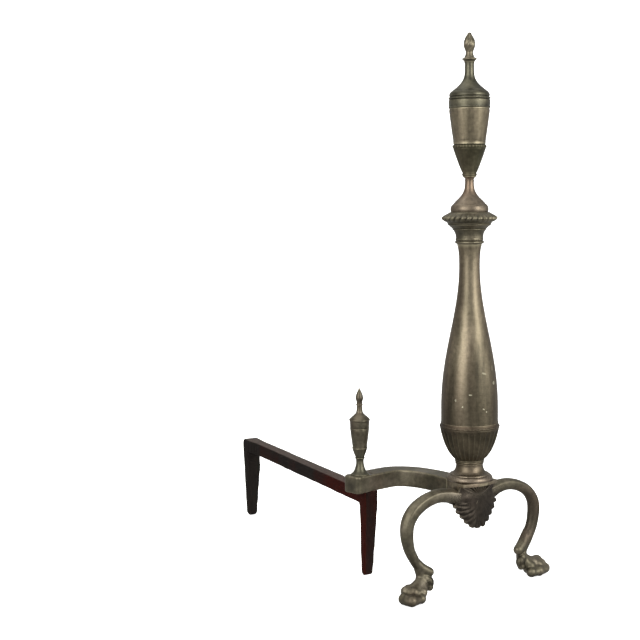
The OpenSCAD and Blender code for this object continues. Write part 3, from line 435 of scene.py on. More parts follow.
# The cup: thirty hollow flutes with round heads under a ring that is nicked to match
cup = dict(foot=18.4, belly=31.1, rim=37.4, seat=42, flutes=30, per=8, depth=1.25, half=3.6, headFrom=0.86,
           headTo=0.972, nick=0.5)
cupShares = [0, 0.02, 0.05, 0.09] + [0.13 + 0.73 * i / 14 for i in range(15)] + [
    0.885, 0.905, 0.925, 0.94, 0.955, 0.968, 0.98, 1]
cupWall = [bowAt((cup["foot"], 1.5), (cup["belly"], 12), (cup["rim"] - 0.7, cup["seat"] - 0.5), t) for t in cupShares]
cupRing = bead(cup["rim"] - 1.75, 43.5, 1.7, -60, 76, 12)
cupPiece = turnPiece("fluted_cup_cast", level["cup"], (
    [(bore, 0), (cup["foot"], 0)] + cupWall + cupRing + bow((36.0, 45.3), (35.8, 46.6), (35.6, 48.2), 4)
    + [(35.5, 48.2), (35.5, cup["seat"]), (31, 41.9), (14.4, 6), (bore, 6), (bore, 0)]), steps=240)
cupRows = []
aside = [abs(c - cup["per"] / 2) for c in range(cup["per"])]  # how many columns lie up to the flute's middle
for t, (radius, height) in zip(cupShares, cupWall):
    head = max(0, (t - cup["headFrom"]) / (cup["headTo"] - cup["headFrom"]))
    depth = cup["depth"] * min(1, (t + 0.01) * 9)
    depths = [depth * math.sqrt(max(0, 1 - (c / cup["half"]) ** 2 - head ** 2)) for c in aside]
    cupRows.append((level["cup"] + height, depths, 0))
for radius, height in cupRing[2:11]:
    swell = max(0, math.sin(math.pi * (height - 41.6) / 3.7))
    depths = [cup["nick"] * swell * (c / 4) ** 3 for c in aside]
    cupRows.append((level["cup"] + height, depths, 0))
carveColumns(cupPiece, cupRows, cup["flutes"], cup["per"], least=16.5)
finishPiece(cupPiece, "fluted_cup", flutedBrass, 40)
print("spool and cup made")

column = dict(height=227, belly=35.3, neck=12.8, top=15.3, bellyZ=22, neckZ=200, power=1.08, wall=2.2, mouth=10.1,
              lipZ=221)


def columnAt(z):
    if z < column["bellyZ"]:
        return column["belly"]
    if z < column["neckZ"]:
        share = ((z - column["bellyZ"]) / (column["neckZ"] - column["bellyZ"])) ** column["power"]
        return column["neck"] + (column["belly"] - column["neck"]) * (1 + math.cos(math.pi * share)) / 2
    share = (z - column["neckZ"]) / (column["height"] - column["neckZ"])
    return column["neck"] + (column["top"] - column["neck"]) * share ** 3


columnSteps = [column["height"] * i / 64 for i in range(65)]
columnPiece = turnPiece("column_spun", level["column"], (
    [(columnAt(z), z) for z in columnSteps] + [(column["mouth"], column["height"]), (column["mouth"], column["lipZ"])]
    + [(columnAt(z) - column["wall"], z) for z in reversed(columnSteps) if z < column["lipZ"]] + [(columnAt(0), 0)]))
finishPiece(columnPiece, "column", columnBrass)

# The capital: astragal, hollow neck, two fillets, and a gadrooned rim whose lobes lean
capital = dict(neck=17.1, rim=33.3, rimZ=27, lobes=28, per=8, depth=2.1, lean=8)
neck, rim, rimZ = capital["neck"], capital["rim"], capital["rimZ"]
# out from the rim, up from rimZ, and the share of the lobes' depth
rimLine = [(-5.2, 0, 0), (-3.6, 0.7, 0.25), (-2.2, 1.7, 0.55), (-1.2, 2.7, 0.85), (-0.5, 3.7, 1), (-0.1, 4.7, 1),
           (-0.1, 5.6, 1), (-0.8, 6.5, 0.95), (-1.9, 7.5, 0.85), (-3.4, 8.6, 0.65), (-5.0, 9.6, 0.45),
           (-6.4, 10.4, 0.25), (-7.6, 11.1, 0.1), (-8.2, 12, 0)]
capitalPiece = turnPiece("capital_gadrooned", level["capital"], ringUp(
    [(column["top"], 0), (15.5, 0.5)] + bead(neck - 0.9, 2.4, 1.75, -75, 80, 8) + [(neck - 0.45, 4.5)]
    + bead(neck - 0.55, 5.9, 0.8, -75, 75, 6) + [(neck - 0.4, 7.1)]
    + bow((neck - 0.3, 7.3), (neck - 0.4, 13.5), (neck + 2.8, 17.3), 10) + [(neck + 3.5, 17.5)]
    + bead(neck + 3.3, 18.3, 0.6, -60, 70, 5) + [(neck + 3.7, 19.1)]
    + bow((neck + 4.1, 19.3), (neck + 6.2, 21.4), (neck + 8.4, 23.1), 6) + [(neck + 9.0, 23.3)]
    + bead(neck + 8.9, 24.0, 0.6, -60, 70, 5) + [(rim - 6.2, rimZ - 1.6), (rim - 5.9, rimZ - 0.3)]
    + [(rim + outward, rimZ + up) for outward, up, share in rimLine], bore), steps=224)
rimRows = [(level["capital"] + rimZ + up,
            [-capital["depth"] * share * (math.sin(math.pi * p / capital["per"]) ** 0.8 - 0.5)
             for p in range(capital["per"])],
            capital["lean"] * up / 12) for outward, up, share in rimLine]
carveColumns(capitalPiece, rimRows, capital["lobes"], capital["per"])
finishPiece(capitalPiece, "capital", turnedBrass, 40)
print("column and capital made")

# The urn, from its turned foot up
pedestal = dict(foot=23.3, stem=5.5, height=43)
foot, stem, tall = pedestal.values()
bell = smoothLine([(foot - 4.0, 10.8), (foot - 6.6, 13.9), (foot - 11.2, 18.3), (foot - 15.0, 23.5),
                   (stem + 0.7, 28.8), (stem + 0.1, 34), (stem, 37.4)], 5)
pedestalPiece = turnPiece("urn_pedestal_turned", level["pedestal"], ringUp(
    [(foot - 1.2, 0), (foot - 0.5, 0.5)] + bow((foot - 0.5, 0.5), (foot + 0.7, 4.4), (foot - 1.0, 7.7), 10)
    + bow((foot - 1.0, 7.7), (foot - 1.9, 9.3), (foot - 3.5, 10.3), 6) + [(foot - 3.8, 10.5)] + bell
    + bead(stem - 0.3, 38.5, 0.8, -75, 75, 6) + [(stem - 0.1, 39.7), (stem, 40.3)]
    + bow((stem, 40.3), (stem + 0.4, 41.6), (stem + 2.0, tall), 5), 0))
finishPiece(pedestalPiece, "urn_pedestal", footBrass)

# Calyx: a cone of sixteen shallow flutes under a band of small beads
calyx = dict(collar=9.3, band=20.9, height=40, flutes=16, flutePer=8, fluteDepth=0.4, beads=32, beadPer=4,
             beadDepth=0.65)
collar, band, tall = calyx["collar"], calyx["band"], calyx["height"]
coneLine = smoothLine([(collar - 0.2, 5.6), (collar + 2.1, 10.8), (collar + 5.3, 19.2), (collar + 8.4, 27.8),
                       (collar + 10.4, 33.6)], 4)
bandLine = bead(band - 2.2, tall - 3.1, 2.2, -62, 72, 8)
calyxPiece = turnPiece("urn_calyx_cast", level["calyx"], (
    [(urnBore, 0), (collar - 0.9, 0)] + bead(collar - 1.1, 2.9, 1.1, -70, 75, 8)
    + [(collar - 0.75, 4.7), (collar - 0.7, 5.5)] + coneLine + bandLine
    + [(19.1, tall - 0.7), (19.0, tall), (15.2, tall), (6, 14), (urnBore, 14), (urnBore, 0)]))
coneRows = []
for i, (radius, height) in enumerate(coneLine[2:]):
    fade = min(1, (i + 1) / 3) * min(1, (len(coneLine) - 3 - i) / 1.5)
    depths = [calyx["fluteDepth"] * fade * math.sin(math.pi * p / calyx["flutePer"])
              for p in range(calyx["flutePer"])]
    coneRows.append((level["calyx"] + height, depths, 0))
carveColumns(calyxPiece, coneRows, calyx["flutes"], calyx["flutePer"])
beadRows = []
for radius, height in bandLine[1:8]:
    swell = math.sin(math.pi * min(max((height - tall + 5.2) / 4.4, 0), 1))
    depths = [calyx["beadDepth"] * (abs(p - 2) / 2) ** 1.5 * swell for p in range(calyx["beadPer"])]
    beadRows.append((level["calyx"] + height, depths, 0))
carveColumns(calyxPiece, beadRows, calyx["beads"], calyx["beadPer"], least=17)
finishPiece(calyxPiece, "urn_calyx", calyxBrass, 40)

body = dict(low=19.8, belly=23.1, top=24.8, height=43)
low, belly, top, tall = body.values()
bodyPiece = turnPiece("urn_body_spun", level["body"], (
    [(urnBore, 0), (low, 0), (low, 2.4)] + bead(low - 0.35, 3.1, 0.55, -50, 60, 4) + [(low + 0.05, 3.9)]
    + bow((low + 0.05, 4.2), (belly, tall * 0.6), (top, tall - 2.2), 14)
    + [(top - 0.4, tall - 1.6), (top - 0.4, tall), (top - 2.2, tall), (low - 2, 2), (urnBore, 2), (urnBore, 0)]))
finishPiece(bodyPiece, "urn_body", columnBrass)

# The lid: a ring, a shoulder and a long neck, hollow below
lid = dict(rim=25.7, neck=5.7, hollow=22.2, hollowZ=10.5, height=56)
rim, neck, hollow, hollowZ, tall = lid.values()
lidNeck = smoothLine([(rim - 6.6, 22.6), (rim - 10.6, 25.9), (rim - 15.6, 31), (neck + 1.45, 36.3),
                      (neck + 0.25, 41.6), (neck, 48.7), (neck + 0.1, 53)], 6)
lidPiece = turnPiece("urn_lid_turned", level["lid"], (
    [(hollow, 0), (24.6, 0)] + bead(rim - 1.0, 1.3, 0.95, -62, 70, 6)
    + [(rim - 0.75, 2.5), (rim - 0.7, 3.2), (rim - 0.45, 9.9), (rim - 1.5, 10.4), (rim - 1.5, 11.0)]
    + bead(rim - 0.95, 12.1, 0.95, -70, 65, 8) + [(rim - 1.6, 13.3), (rim - 1.7, 14.0)]
    + bow((rim - 1.0, 14.4), (rim - 0.8, 19.4), (rim - 5.6, 21.5), 12) + [(rim - 5.8, 22.2), (rim - 6.3, 22.4)]
    + lidNeck + [(neck + 0.4, 55), (neck + 0.8, tall), (urnBore, tall), (urnBore, hollowZ), (hollow, hollowZ),
                 (hollow, 0)]))
finishPiece(lidPiece, "urn_lid", stopBrass)

# The flame: six flutes twist round it to a blunt tip
flame = dict(height=35, hole=2.6, holeZ=8.5, flutes=6, per=16, depth=0.75, twist=5)
flameLine = smoothLine([(5.6, 6.2), (4.5, 10.9), (5.9, 15.2), (7.4, 19.6), (6.9, 24), (5.3, 28.2), (3.4, 32.2)], 5)
flamePiece = turnPiece("flame_finial_turned", level["flame"], (
    [(flame["hole"], 0), (6.2, 0), (6.9, 0.9)] + bead(8.1, 3.1, 0.95, -60, 75, 8) + [(7.2, 4.2), (5.8, 5.6)]
    + flameLine + bow((3.4, 32.2), (2.6, 34.4), (0, flame["height"]), 6)
    + [(0, flame["holeZ"]), (flame["hole"], flame["holeZ"]), (flame["hole"], 0)]), steps=96)
flameRows = []
for radius, height in flameLine[5:]:
    depth = flame["depth"] * ease((height - 11.5) / 5) * ease((35.5 - height) / 5)
    depths = [depth * (0.5 - 0.5 * math.cos(2 * math.pi * p / flame["per"])) for p in range(flame["per"])]
    flameRows.append((level["flame"] + height, depths, flame["twist"] * (height - 11)))
carveColumns(flamePiece, flameRows, flame["flutes"], flame["per"], least=1.5)
finishPiece(flamePiece, "flame_finial", turnedBrass)
print("urn made")

# The log stop: a small urn on the shank's end, as high up as the plinth's top
stop = dict(foot=11.6, stem=5.1, ring=9.9, shoulder=13.1, height=112.6, hole=3.1, holeZ=11.5, at=(-95.6, 101.3),
            flutes=12, per=8, depth=0.4)
foot, stem, ring, shoulder, tall, hole, holeZ = list(stop.values())[:7]
stopCone = bow((stem + 0.4, 24), (ring - 2.2, 28), (ring - 0.7, 33.6), 6)
stopPiece = turnPiece("log_stop_turned", level["plinth"], (
    [(hole, 0), (foot - 0.6, 0), (foot, 0.8), (foot, 2), (foot - 0.5, 2.6)]
    + bow((foot - 0.9, 2.9), (stem + 1.6, 5.5), (stem, 15), 12) + [(stem - 0.2, 19), (stem + 0.1, 21)]
    + bead(stem + 0.2, 22.5, 1.0, -75, 80, 6) + stopCone + bead(ring - 0.85, 35.5, 0.85, -70, 75, 6)
    + bow((ring - 0.75, 37), (shoulder - 2.1, 50), (shoulder - 1.1, 59.4), 8)
    + bead(shoulder - 1.45, 60.9, 0.75, -75, 75, 6)
    + [(shoulder - 1.05, 62.2), (shoulder - 0.6, 69.2), (shoulder - 0.65, 70.0), (shoulder - 0.2, 70.8)]
    + bead(shoulder - 0.5, 71.8, 0.8, -50, 60, 5) + bow((shoulder - 0.4, 73.4), (6.9, 78), (4.7, 80.5), 8)
    + bow((4.7, 80.5), (3.6, 83.5), (3.5, 89), 6) + bead(3.4, 91, 1.0, -80, 80, 6) + [(3.6, 93.2), (3.7, 95.4)]
    + bow((4.2, 96.2), (5.1, 98), (4.9, 100.2), 5) + bow((4.9, 100.2), (4.3, 105), (1.7, tall - 3.4), 7)
    + [(1.0, tall - 1.2), (0, tall), (0, holeZ), (hole, holeZ), (hole, 0)]), steps=96, middle=stop["at"])
stopRows = [(level["plinth"] + height,
             [stop["depth"] * min(1, i / 2) * math.sin(math.pi * p / stop["per"]) for p in range(stop["per"])], 0)
            for i, (radius, height) in enumerate(stopCone)]
carveColumns(stopPiece, stopRows, stop["flutes"], stop["per"], middle=stop["at"], least=4)
finishPiece(stopPiece, "log_stop", stopBrass, 36)
print("log stop made")

# The cabriole legs. The middle line is given by shares of the run out from the root, and heights above the floor, and
# each leg by its thickness along it. The arris runs down the front, on the inner side: degrees, and share of the radius
leg = dict(root=27.5, run=76.0, forward=5, thick=8.3, deep=7.7, sides=24, arris={-120: 1.15, -105: 1.04, -135: 1.05},
           line=[(-0.07, 116.5), (0.06, 119.5), (0.19, 122.0), (0.40, 123.2), (0.64, 119), (0.85, 110), (0.975, 97),
                 (1, 82), (0.955, 64), (0.85, 49), (0.775, 41), (0.75, 36)],
           right_leg=(1.42, 1.26, 1.08, 0.94, 0.86, 0.89, 0.95, 0.96, 0.9, 0.93, 0.95, 0.88),
           left_leg=(1.36, 1.2, 1.08, 1.06, 1.1, 1.13, 1.09, 1.02, 0.86, 0.77, 0.78, 0.8),
           voxel=0.8, smoothing=11)
ankleX = leg["root"] + 0.7 * leg["run"]
legLine = [Vector((leg["root"] + leg["run"] * out, up)) for out, up in smoothLine(leg["line"], 5)]


def legTube(node):  # a ring drawn out along the leg's line, turned and sized at each step
    legGirth = [g[0] for g in smoothLine([(g, 0) for g in leg[node]], 5)]
    startFresh()
    bpy.ops.mesh.primitive_circle_add(vertices=leg["sides"], radius=leg["thick"] * mm, location=(0, 0, 0))
    tube = bpy.context.object
    editMode(tube)
    for place, out in leg["arris"].items():
        mesh = bmesh.from_edit_mesh(tube.data)
        pickPoints(tube, [v.index for v in mesh.verts
                          if abs(math.atan2(v.co.y, v.co.x) - math.radians(place)) < 0.05])
        bpy.ops.transform.resize(value=[out] * 3, center_override=(0, 0, 0))
    pickAll()
    bpy.ops.transform.resize(value=(1, leg["deep"] / leg["thick"], 1), center_override=(0, 0, 0))
    bpy.ops.mesh.edge_face_add()
    here = fromPost(legLine[0][0], -leg["forward"], legLine[0][1])
    bpy.ops.transform.translate(value=here)
    heading = 90  # the way that the ring faces, in degrees down from straight up
    bpy.ops.transform.rotate(value=-math.radians(heading), orient_axis="Y", center_override=here)
    bpy.ops.transform.resize(value=[legGirth[0]] * 3, center_override=here)
    for i in range(1, len(legLine)):
        there = fromPost(legLine[i][0], -leg["forward"], legLine[i][1])
        bpy.ops.mesh.extrude_region_move(TRANSFORM_OT_translate={"value": there - here})
        run = legLine[min(i + 1, len(legLine) - 1)] - legLine[i - 1]
        turn = math.degrees(math.atan2(run[0], run[1])) - heading
        turn = (turn + 180) % 360 - 180
        heading += turn
        bpy.ops.transform.rotate(value=-math.radians(turn), orient_axis="Y", center_override=there)
        bpy.ops.transform.resize(value=[legGirth[i] / legGirth[i - 1]] * 3, center_override=there)
        here = there
    pickAll()
    bpy.ops.mesh.normals_make_consistent(inside=False)
    objectMode()
    return tube


def lump(x, y, z, size, turn=(0, 0, 0)):  # one pinch of wax for the paw's pattern
    startFresh()
    bpy.ops.mesh.primitive_uv_sphere_add(segments=18, ring_count=12, radius=mm, location=fromPost(x, y, z),
                                         rotation=[math.radians(a) for a in turn], scale=size)
    return bpy.context.object


def roll(points, n=5):  # a roll of wax through points of (x, y, z, radius)
    return [lump(*p[:3], [p[3]] * 3) for p in smoothLine(points, n)]


# Each toe has its tip's place out and forward from the paw's middle and its size, and then its knuckle's place out,
# forward and up, and its size. The castings were filed up by hand, so that their toes don't lie quite alike
paw = dict(x=ankleX + 9, y=-leg["forward"] + 1,
           right_leg=[((23.3, 13.0, 7.0), (18.8, 2.6, 15.2, 7.7)), ((8.4, 18.4, 6.8), (8.6, 7.6, 15.2, 7.2)),
                      ((-3.4, 16.9, 6.8), (-0.8, 12.4, 13.2, 6.2)), ((14.0, -4.0, 6.3), (10.5, -3.5, 14.6, 6.2))],
           left_leg=[((25.4, 10.2, 7.3), (17.6, 3.8, 13.7, 6.8)), ((23.4, 22.6, 7.2), (11.8, 12.7, 13.6, 6.5)),
                     ((6.8, 19.2, 6.4), (0.4, 14.8, 12.5, 6.0)), ((13.0, -3.0, 6.3), (9.0, -2.6, 13.4, 6.0))],
           fill=dict(right_leg=[(21.8, 8.0, 12.2, 6.4), (15, 9, 11.5, 7.5)],
                     left_leg=[(24.9, 16.2, 7.3, 7.1), (14, 12, 9, 8)]),
           tuft=dict(right_leg=(2.6, 1.16), left_leg=(-0.9, 1.03)))  # lift, and share of the size


def pawLumps(node):
    toes = [((paw["x"] + t[0], paw["y"] - t[1], t[2] + 0.1, t[2]), (paw["x"] + k[0], paw["y"] - k[1], k[2], k[3]))
            for t, k in paw[node]]
    palm = (paw["x"] + 1.5, paw["y"] - 5.5, 13.5, 8.4)
    lumps = []
    for tip, knuckle in toes:
        lumps += [lump(*tip[:3], [tip[3]] * 3), lump(*knuckle[:3], [knuckle[3]] * 3)]
        lumps += roll([palm, (*knuckle[:3], knuckle[3] - 0.6)], 4)
        low = (*tip[:2], tip[2] + 0.3, tip[3] - 1.6)
        lumps += roll([(*knuckle[:2], knuckle[2] - 3.2, knuckle[3] - 1.2), low], 4)
        lumps += roll([(*palm[:2], 9, 7.5), (*tip[:2], tip[2] + 0.6, tip[3] - 1.2)], 5)
    lumps += [lump(paw["x"] + x, paw["y"] - y, z, [r] * 3) for x, y, z, r in paw["fill"][node]]
    order = (3, 0, 1, 2)  # rolls across the knuckles and the tips leave only shallow grooves between the toes
    lumps += roll([(*toes[i][1][:2], toes[i][1][2] - 1.2, toes[i][1][3] - 0.9) for i in order], 6)
    lumps += roll([(*toes[i][0][:2], toes[i][0][2] - 0.4, toes[i][0][3] - 1.3) for i in order], 6)
    lumps += roll([(ankleX + 5.6, -5.4, 42.5, 6.2), (ankleX + 4.2, -5.6, 38, 6.9), (ankleX + 1.9, -6, 29, 6.8),
                   (ankleX + 2.8, -7.4, 21.5, 8.2), palm], 6)
    for tip, knuckle in toes[:3]:  # the instep fans out from the ankle to the knuckles
        lumps += roll([(ankleX + 2, -7.8, 26, 5.6), ((ankleX + 2 + knuckle[0]) / 2, (knuckle[1] - 9) / 2,
                                                     knuckle[2] / 2 + 10.4, 5.9), (*knuckle[:3], knuckle[3] - 0.3)], 6)
    lumps += [lump(ankleX - 5.8, -12.2, 20.6, (6.2, 5.8, 7.6), (0, 8, 0)),  # heel pad, clear of the floor
              lump(ankleX - 1.4, -10, 24, (6.4, 6.4, 7.8)), lump(ankleX - 5.4, -13.2, 14.8, [5.1] * 3),
              lump(ankleX + 1.5, -9.5, 17, (8, 7, 8))]
    # the tuft swells out of the leg's inner side and ends in a round knob over the ankle
    lift, size = paw["tuft"][node]
    lumps += roll([(x, y, z + lift, r * size) for x, y, z, r in (
        (98, -3.4, 60, 3.8), (91.8, -4.4, 51.0, 5.0), (84.6, -6.8, 41.2, 6.0), (78.4, -8.9, 36.6, 5.9),
        (72.9, -10.4, 33.4, 5.6))])
    return lumps


def castLeg(node):
    piece = joinPieces(node + "_cast", [legTube(node)] + pawLumps(node))
    addModifier(piece, "REMESH", mode="VOXEL", voxel_size=leg["voxel"] * mm, use_smooth_shade=True)
    addModifier(piece, "SMOOTH", factor=0.5, iterations=leg["smoothing"])
    editMode(piece)
    # cut flat on the floor, and upright inside the plinth
    for place, normal in ((fromPost(0, 0, 0.02), (0, 0, 1)), (fromPost(leg["root"] - 4, 0, 0), (1, 0, 0))):
        pickAll()
        bpy.ops.mesh.bisect(plane_co=place, plane_no=normal, clear_inner=True, use_fill=True, threshold=0.02 * mm)
    cleanSkin()
    objectMode()
    return piece


rightLeg = castLeg("right_leg")
leftLeg = castLeg("left_leg")  # modelled on the right side and mirrored across x
leftLeg.scale = (-1, 1, 1)
pickPiece(leftLeg)
bpy.ops.object.transform_apply()
editMode(leftLeg)
pickAll()
bpy.ops.mesh.normals_make_consistent(inside=False)
objectMode()
for piece, node in ((rightLeg, "right_leg"), (leftLeg, "left_leg")):
    finishPiece(piece, node, legBrass, 50)
print("legs made")

# The shell apron hangs point down from the plate, the ledge's underside. Its points go by an angle b from straight
# down, in degrees, and a share t of the way from the hub, near the top, to the rim
shell = dict(half=32.8, height=55.2, hub=14, plate=132, widest=11, plinth=27.5, neck=76, lap=4.6, scallop=0.075,
             lobes=25, around=480, front=12, thick=2.6, swell=4.6, rib=1.7, curl=50, comma=170, ear=1.8, flute=13,
             fluteDepth=2.7, crease=0.4, tip=1.2, sweep=4.2)
hubZ = shell["plate"] - shell["hub"]
fanR = shell["half"] / math.sin(math.atan2(shell["half"], shell["widest"]))
tipR = shell["height"] - shell["hub"]


def shellEdge(b):  # distance from the hub to the rim
    a = abs(b)
    if a > 180 - math.degrees(math.atan2(shell["plinth"], shell["hub"])):
        return shell["hub"] / abs(math.cos(math.radians(a)))
    if a > shell["neck"]:  # the ears lap over the legs' roots
        return (shell["plinth"] + shell["lap"] * ease((114 - a) / 34)) / math.sin(math.radians(a))
    scallop = abs(math.cos(math.radians(a * shell["lobes"] / 2))) ** 0.7
    edge = fanR + (tipR - fanR) * ease(1 - a / 48)
    edge *= 1 + shell["scallop"] * ease(a / 12) * (scallop - 0.7)
    return edge * (1 + 0.03 * ease(b / 20))  # the right side swells a little more


def shellRelief(b, t):
    a = abs(b)
    ears = shell["ear"] * math.exp(-((a - 88) / 17) ** 2) * ease((t - 0.3) / 0.4)
    if a > 98:  # short straight flutes that fan up to the ledge
        flute = abs(math.cos(math.radians((a - 180) * shell["flute"])))
        return ears + shell["fluteDepth"] * ease((a - 112) / 14) * ease(t * 1.6 - 0.2) * (flute - 0.5)
    # each rib leaves its scallop towards the middle and then curls back up like a comma
    curl = a + shell["curl"] * (1 - t) * ease(a / 24) - shell["comma"] * max(0, 0.6 - t) * ease((a - 30) / 26)
    rib = abs(math.cos(math.radians(curl * shell["lobes"] / 2))) ** 0.8
    first = 0.42 + 0.4 * ease(1 - a / 22) if b < 0 else 0.74  # on the right and at the tip only the rim is fluted
    side = ease((t - first) / 0.2) * (1 - ease((a - 70) / 14))
    return ears + shell["rib"] * side * (rib - 0.45)


def shellPoint(b, t):
    r = shellEdge(b) * t
    x, z = r * math.sin(math.radians(b)), hubZ - r * math.cos(math.radians(b))
    forward = shell["front"] + shell["thick"] + 4 * max(0, (z - hubZ) / shell["hub"]) ** 2
    forward += shell["swell"] * (1 - t ** 2.4) + shellRelief(b, t) * (0.4 if t > 0.985 else 1)
    forward += shell["tip"] * ease((hubZ - z) / 40) - shell["sweep"] * (x / shell["half"]) ** 2
    forward -= shell["crease"] * math.exp(-(x / 1.1) ** 2) * ease((hubZ - 6 - z) / 10)  # the faint line down the middle
    return fromPost(x, -forward, z)


def castShell():
    back = [0.1, 0.3, 0.5, 0.7, 0.85, 0.95, 0.995]
    shares = back + [1, 0.985, 0.96, 0.93, 0.89, 0.84] + [0.8 - 0.05 * i for i in range(15)] + [0.05]
    around = shell["around"]
    startFresh()
    bpy.ops.mesh.primitive_circle_add(vertices=around, radius=30 * mm, location=fromPost(0, 0, 0))
    piece = bpy.context.object
    editMode(piece)
    for i in range(len(shares) - 1):  # the hollow back first, from the middle out, then the front, back to the middle
        bpy.ops.mesh.extrude_region_move(TRANSFORM_OT_translate={"value": (0, 0, mm)})
    bpy.ops.mesh.edge_face_add()
    objectMode()
    bpy.ops.object.transform_apply()
    for vert in piece.data.vertices:
        ring, i = divmod(vert.index, around)
        b = -180 + 360 * (i + 0.5) / around
        vert.co = shellPoint(b, shares[ring])
        if ring < len(back):  # no ribs behind
            vert.co.y += (shell["thick"] + shellRelief(b, shares[ring])) * mm
    editMode(piece)
    pickPoints(piece, range(around))
    bpy.ops.mesh.edge_face_add()
    cleanSkin()
    objectMode()
    return piece


shellPiece = castShell()
finishPiece(shellPiece, "shell_apron", shellBrass, 48)
print("shell made")


# The plinth, shank and bar start from their solids
def solidCopy(node, name):
    startFresh()
    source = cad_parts[node]
    piece = bpy.data.objects.new(name, source.data.copy())
    piece.data.name = name
    bpy.context.scene.collection.objects.link(piece)
    editMode(piece)
    pickAll()
    bpy.ops.mesh.remove_doubles(threshold=0.002 * mm)
    bpy.ops.mesh.dissolve_limited(angle_limit=math.radians(2))
    objectMode()
    return piece


plinth = dict(edge=0.5, segments=3)
plinthPiece = solidCopy("plinth", "plinth_cast")
addModifier(plinthPiece, "BEVEL", width=plinth["edge"] * mm, segments=plinth["segments"], limit_method="ANGLE",
            angle_limit=math.radians(40))
finishPiece(plinthPiece, "plinth", footBrass)

shank = dict(voxel=0.9, smoothing=8, swell=0.95)
shankPiece = solidCopy("shank", "shank_cast")
addModifier(shankPiece, "REMESH", mode="VOXEL", voxel_size=shank["voxel"] * mm, use_smooth_shade=True)
addModifier(shankPiece, "SMOOTH", factor=0.5, iterations=shank["smoothing"])
addModifier(shankPiece, "DISPLACE", strength=shank["swell"] * mm, mid_level=0.0)
finishPiece(shankPiece, "shank", castBrass, 60)

# The bar is dented by the hammer, and both its legs and its rear corner are beaten a little broader
bar = dict(voxel=1.1, hammer=24, dent=0.6, rearDeep=1.033, frontWide=1.014, cornerWide=1.034, smoothing=4)
barPiece = solidCopy("billet_bar", "billet_bar_forged")
addModifier(barPiece, "REMESH", mode="VOXEL", voxel_size=bar["voxel"] * mm, use_smooth_shade=True)
barBack = max(corner.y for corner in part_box("billet_bar"))
feet = [[v.co.x for v in barPiece.data.vertices if v.co.z < 20 * mm and (v.co.y > 0) == rear]
        for rear in (True, False)]
rearX, frontX = [sum(xs) / len(xs) for xs in feet]
hammer = bpy.data.textures.new("hammerMarks", "CLOUDS")
hammer.noise_scale = bar["hammer"] * mm
addModifier(barPiece, "DISPLACE", texture=hammer, texture_coords="GLOBAL", strength=bar["dent"] * mm, mid_level=-0.15)


def broaden(wide, deep, fixedX, takes):  # away from fixedX and from the bar's back
    mesh = bmesh.from_edit_mesh(barPiece.data)
    pickPoints(barPiece, [v.index for v in mesh.verts if takes(v.co)])
    bpy.ops.transform.resize(value=(wide, deep, 1), center_override=(fixedX, barBack, 0))


# In small steps, so that no seam shows: the rear leg towards the inside, the front leg outwards, and the corner
# over the rear leg
editMode(barPiece)
for i in range(6):
    broaden(1, bar["rearDeep"], rearX - 8 * mm, lambda at: at.z < (94 - 3 * i) * mm and at.y > barBack - 40 * mm)
for i in range(8):
    broaden(bar["frontWide"], 1, frontX + 7 * mm, lambda at: at.z < (90 - 10 * i) * mm and at.y < barBack - 200 * mm)
for i in range(6):
    broaden(bar["cornerWide"], 1, rearX + 2 * mm, lambda at: at.y > barBack - (48 - 5 * i) * mm)
objectMode()
addModifier(barPiece, "SMOOTH", factor=0.5, iterations=bar["smoothing"])
editMode(barPiece)
# cut flat at the back and on the floor
for place, normal, above in (((0, barBack - 0.05 * mm, 0), (0, 1, 0), True), ((0, 0, 0.02 * mm), (0, 0, 1), False)):
    pickAll()
    bpy.ops.mesh.bisect(plane_co=place, plane_no=normal, clear_inner=not above, clear_outer=above, use_fill=True,
                        threshold=0.005 * mm)
objectMode()
finishPiece(barPiece, "billet_bar", barPaint, 60)
print("plinth, shank and bar made")

# A round white sweep that glows a little, so that it stays even
studio = dict(radius=5.0, wall=4.5, curve=1.6, paper="f4f4f2", glow=0.62, room=0.5)
startFresh()
bpy.ops.mesh.primitive_circle_add(vertices=96, radius=studio["radius"], fill_type="NGON", location=(0, 0, -0.2 * mm))
floor = bpy.context.object
floor.name = floor.data.name = "studio_floor"
editMode(floor)
bpy.ops.mesh.select_mode(type="EDGE")
pickAll()
bpy.ops.mesh.extrude_edges_move(TRANSFORM_OT_translate={"value": (0, 0, studio["wall"])})
bpy.ops.mesh.select_mode(type="VERT")
objectMode()
addModifier(floor, "BEVEL", width=studio["curve"], segments=10, limit_method="ANGLE", angle_limit=math.radians(40))
smoothShade(floor, 60)
paper = bpy.data.materials.new("paperSweep")
paper.use_nodes = True
paperShader = paper.node_tree.nodes["Principled BSDF"]
paperShader.inputs["Base Color"].default_value = hexLinear(studio["paper"])
paperShader.inputs["Roughness"].default_value = 0.9
paperShader.inputs["Emission Color"].default_value = (1, 1, 1, 1)
paperShader.inputs["Emission Strength"].default_value = studio["glow"]
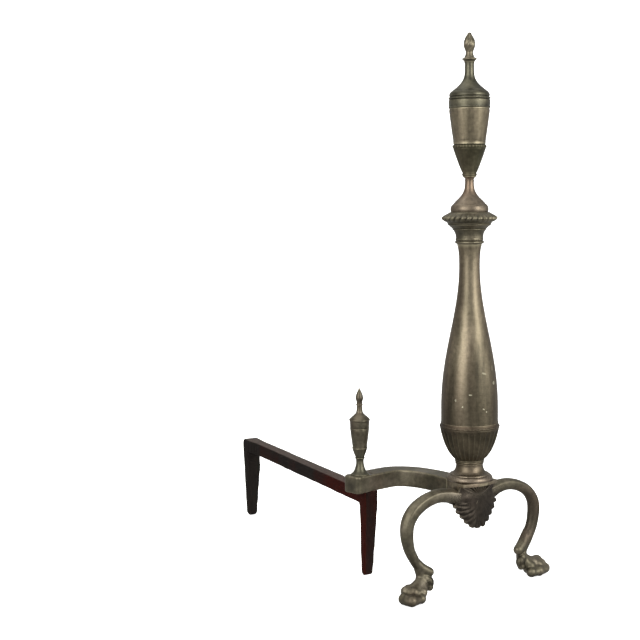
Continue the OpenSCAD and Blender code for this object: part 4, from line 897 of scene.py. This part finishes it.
floor.data.materials.append(paper)
floor.visible_glossy = False  # the brass reflects the dim room and the soft boxes, as in the photo

world = bpy.data.worlds.new("studioWhite")
bpy.context.scene.world = world
world.use_nodes = True
roomLight = world.node_tree.nodes["Background"].inputs
roomLight["Color"].default_value = (1, 1, 1, 1)
roomLight["Strength"].default_value = studio["room"]


def softBox(name, place, target, size, power):
    bpy.ops.object.light_add(type="AREA", location=place)
    lamp = bpy.context.object
    lamp.name = lamp.data.name = name
    lamp.data.shape = "RECTANGLE"
    lamp.data.size, lamp.data.size_y = size
    lamp.data.energy = power
    lamp.rotation_euler = (Vector(target) - Vector(place)).to_track_quat("-Z", "Y").to_euler()


softBox("leftSoftbox", (-2.3, -0.85, 1.2), (0, -0.1, 0.3), (1.6, 1.9), 38)
softBox("rightSoftbox", (0.6, -2.5, 1.2), (0, -0.1, 0.3), (1.0, 1.7), 41)
softBox("topSoftbox", (-0.2, 0.2, 2.4), (0, 0, 0), (2.2, 2.2), 18)
softBox("rightFill", (1.6, -2.1, 0.45), (0, -0.2, 0.15), (1.6, 1.2), 9)

camera = dict(at=(-1.0723, -1.4747, 0.5024), heading=0.5969, dip=0.1, roll=-0.0114, lens=74.85)
heading, dip, roll = camera["heading"], camera["dip"], camera["roll"]
ahead = Vector((math.sin(heading) * math.cos(dip), math.cos(heading) * math.cos(dip), -math.sin(dip)))
right = Vector((math.cos(heading), -math.sin(heading), 0))
up = right.cross(ahead)
rightRolled = math.cos(roll) * right + math.sin(roll) * up
upRolled = -math.sin(roll) * right + math.cos(roll) * up
lens = bpy.data.cameras.new("studioCamera")
lens.lens = camera["lens"]
lens.sensor_width = 36
lens.clip_end = 50
viewer = bpy.data.objects.new("studioCamera", lens)
bpy.context.scene.collection.objects.link(viewer)
turned = Matrix((rightRolled, upRolled, -ahead)).transposed().to_4x4()
turned.translation = Vector(camera["at"])
viewer.matrix_world = turned
bpy.context.scene.camera = viewer
bpy.context.scene.view_settings.view_transform = "Standard"
print("studio made")
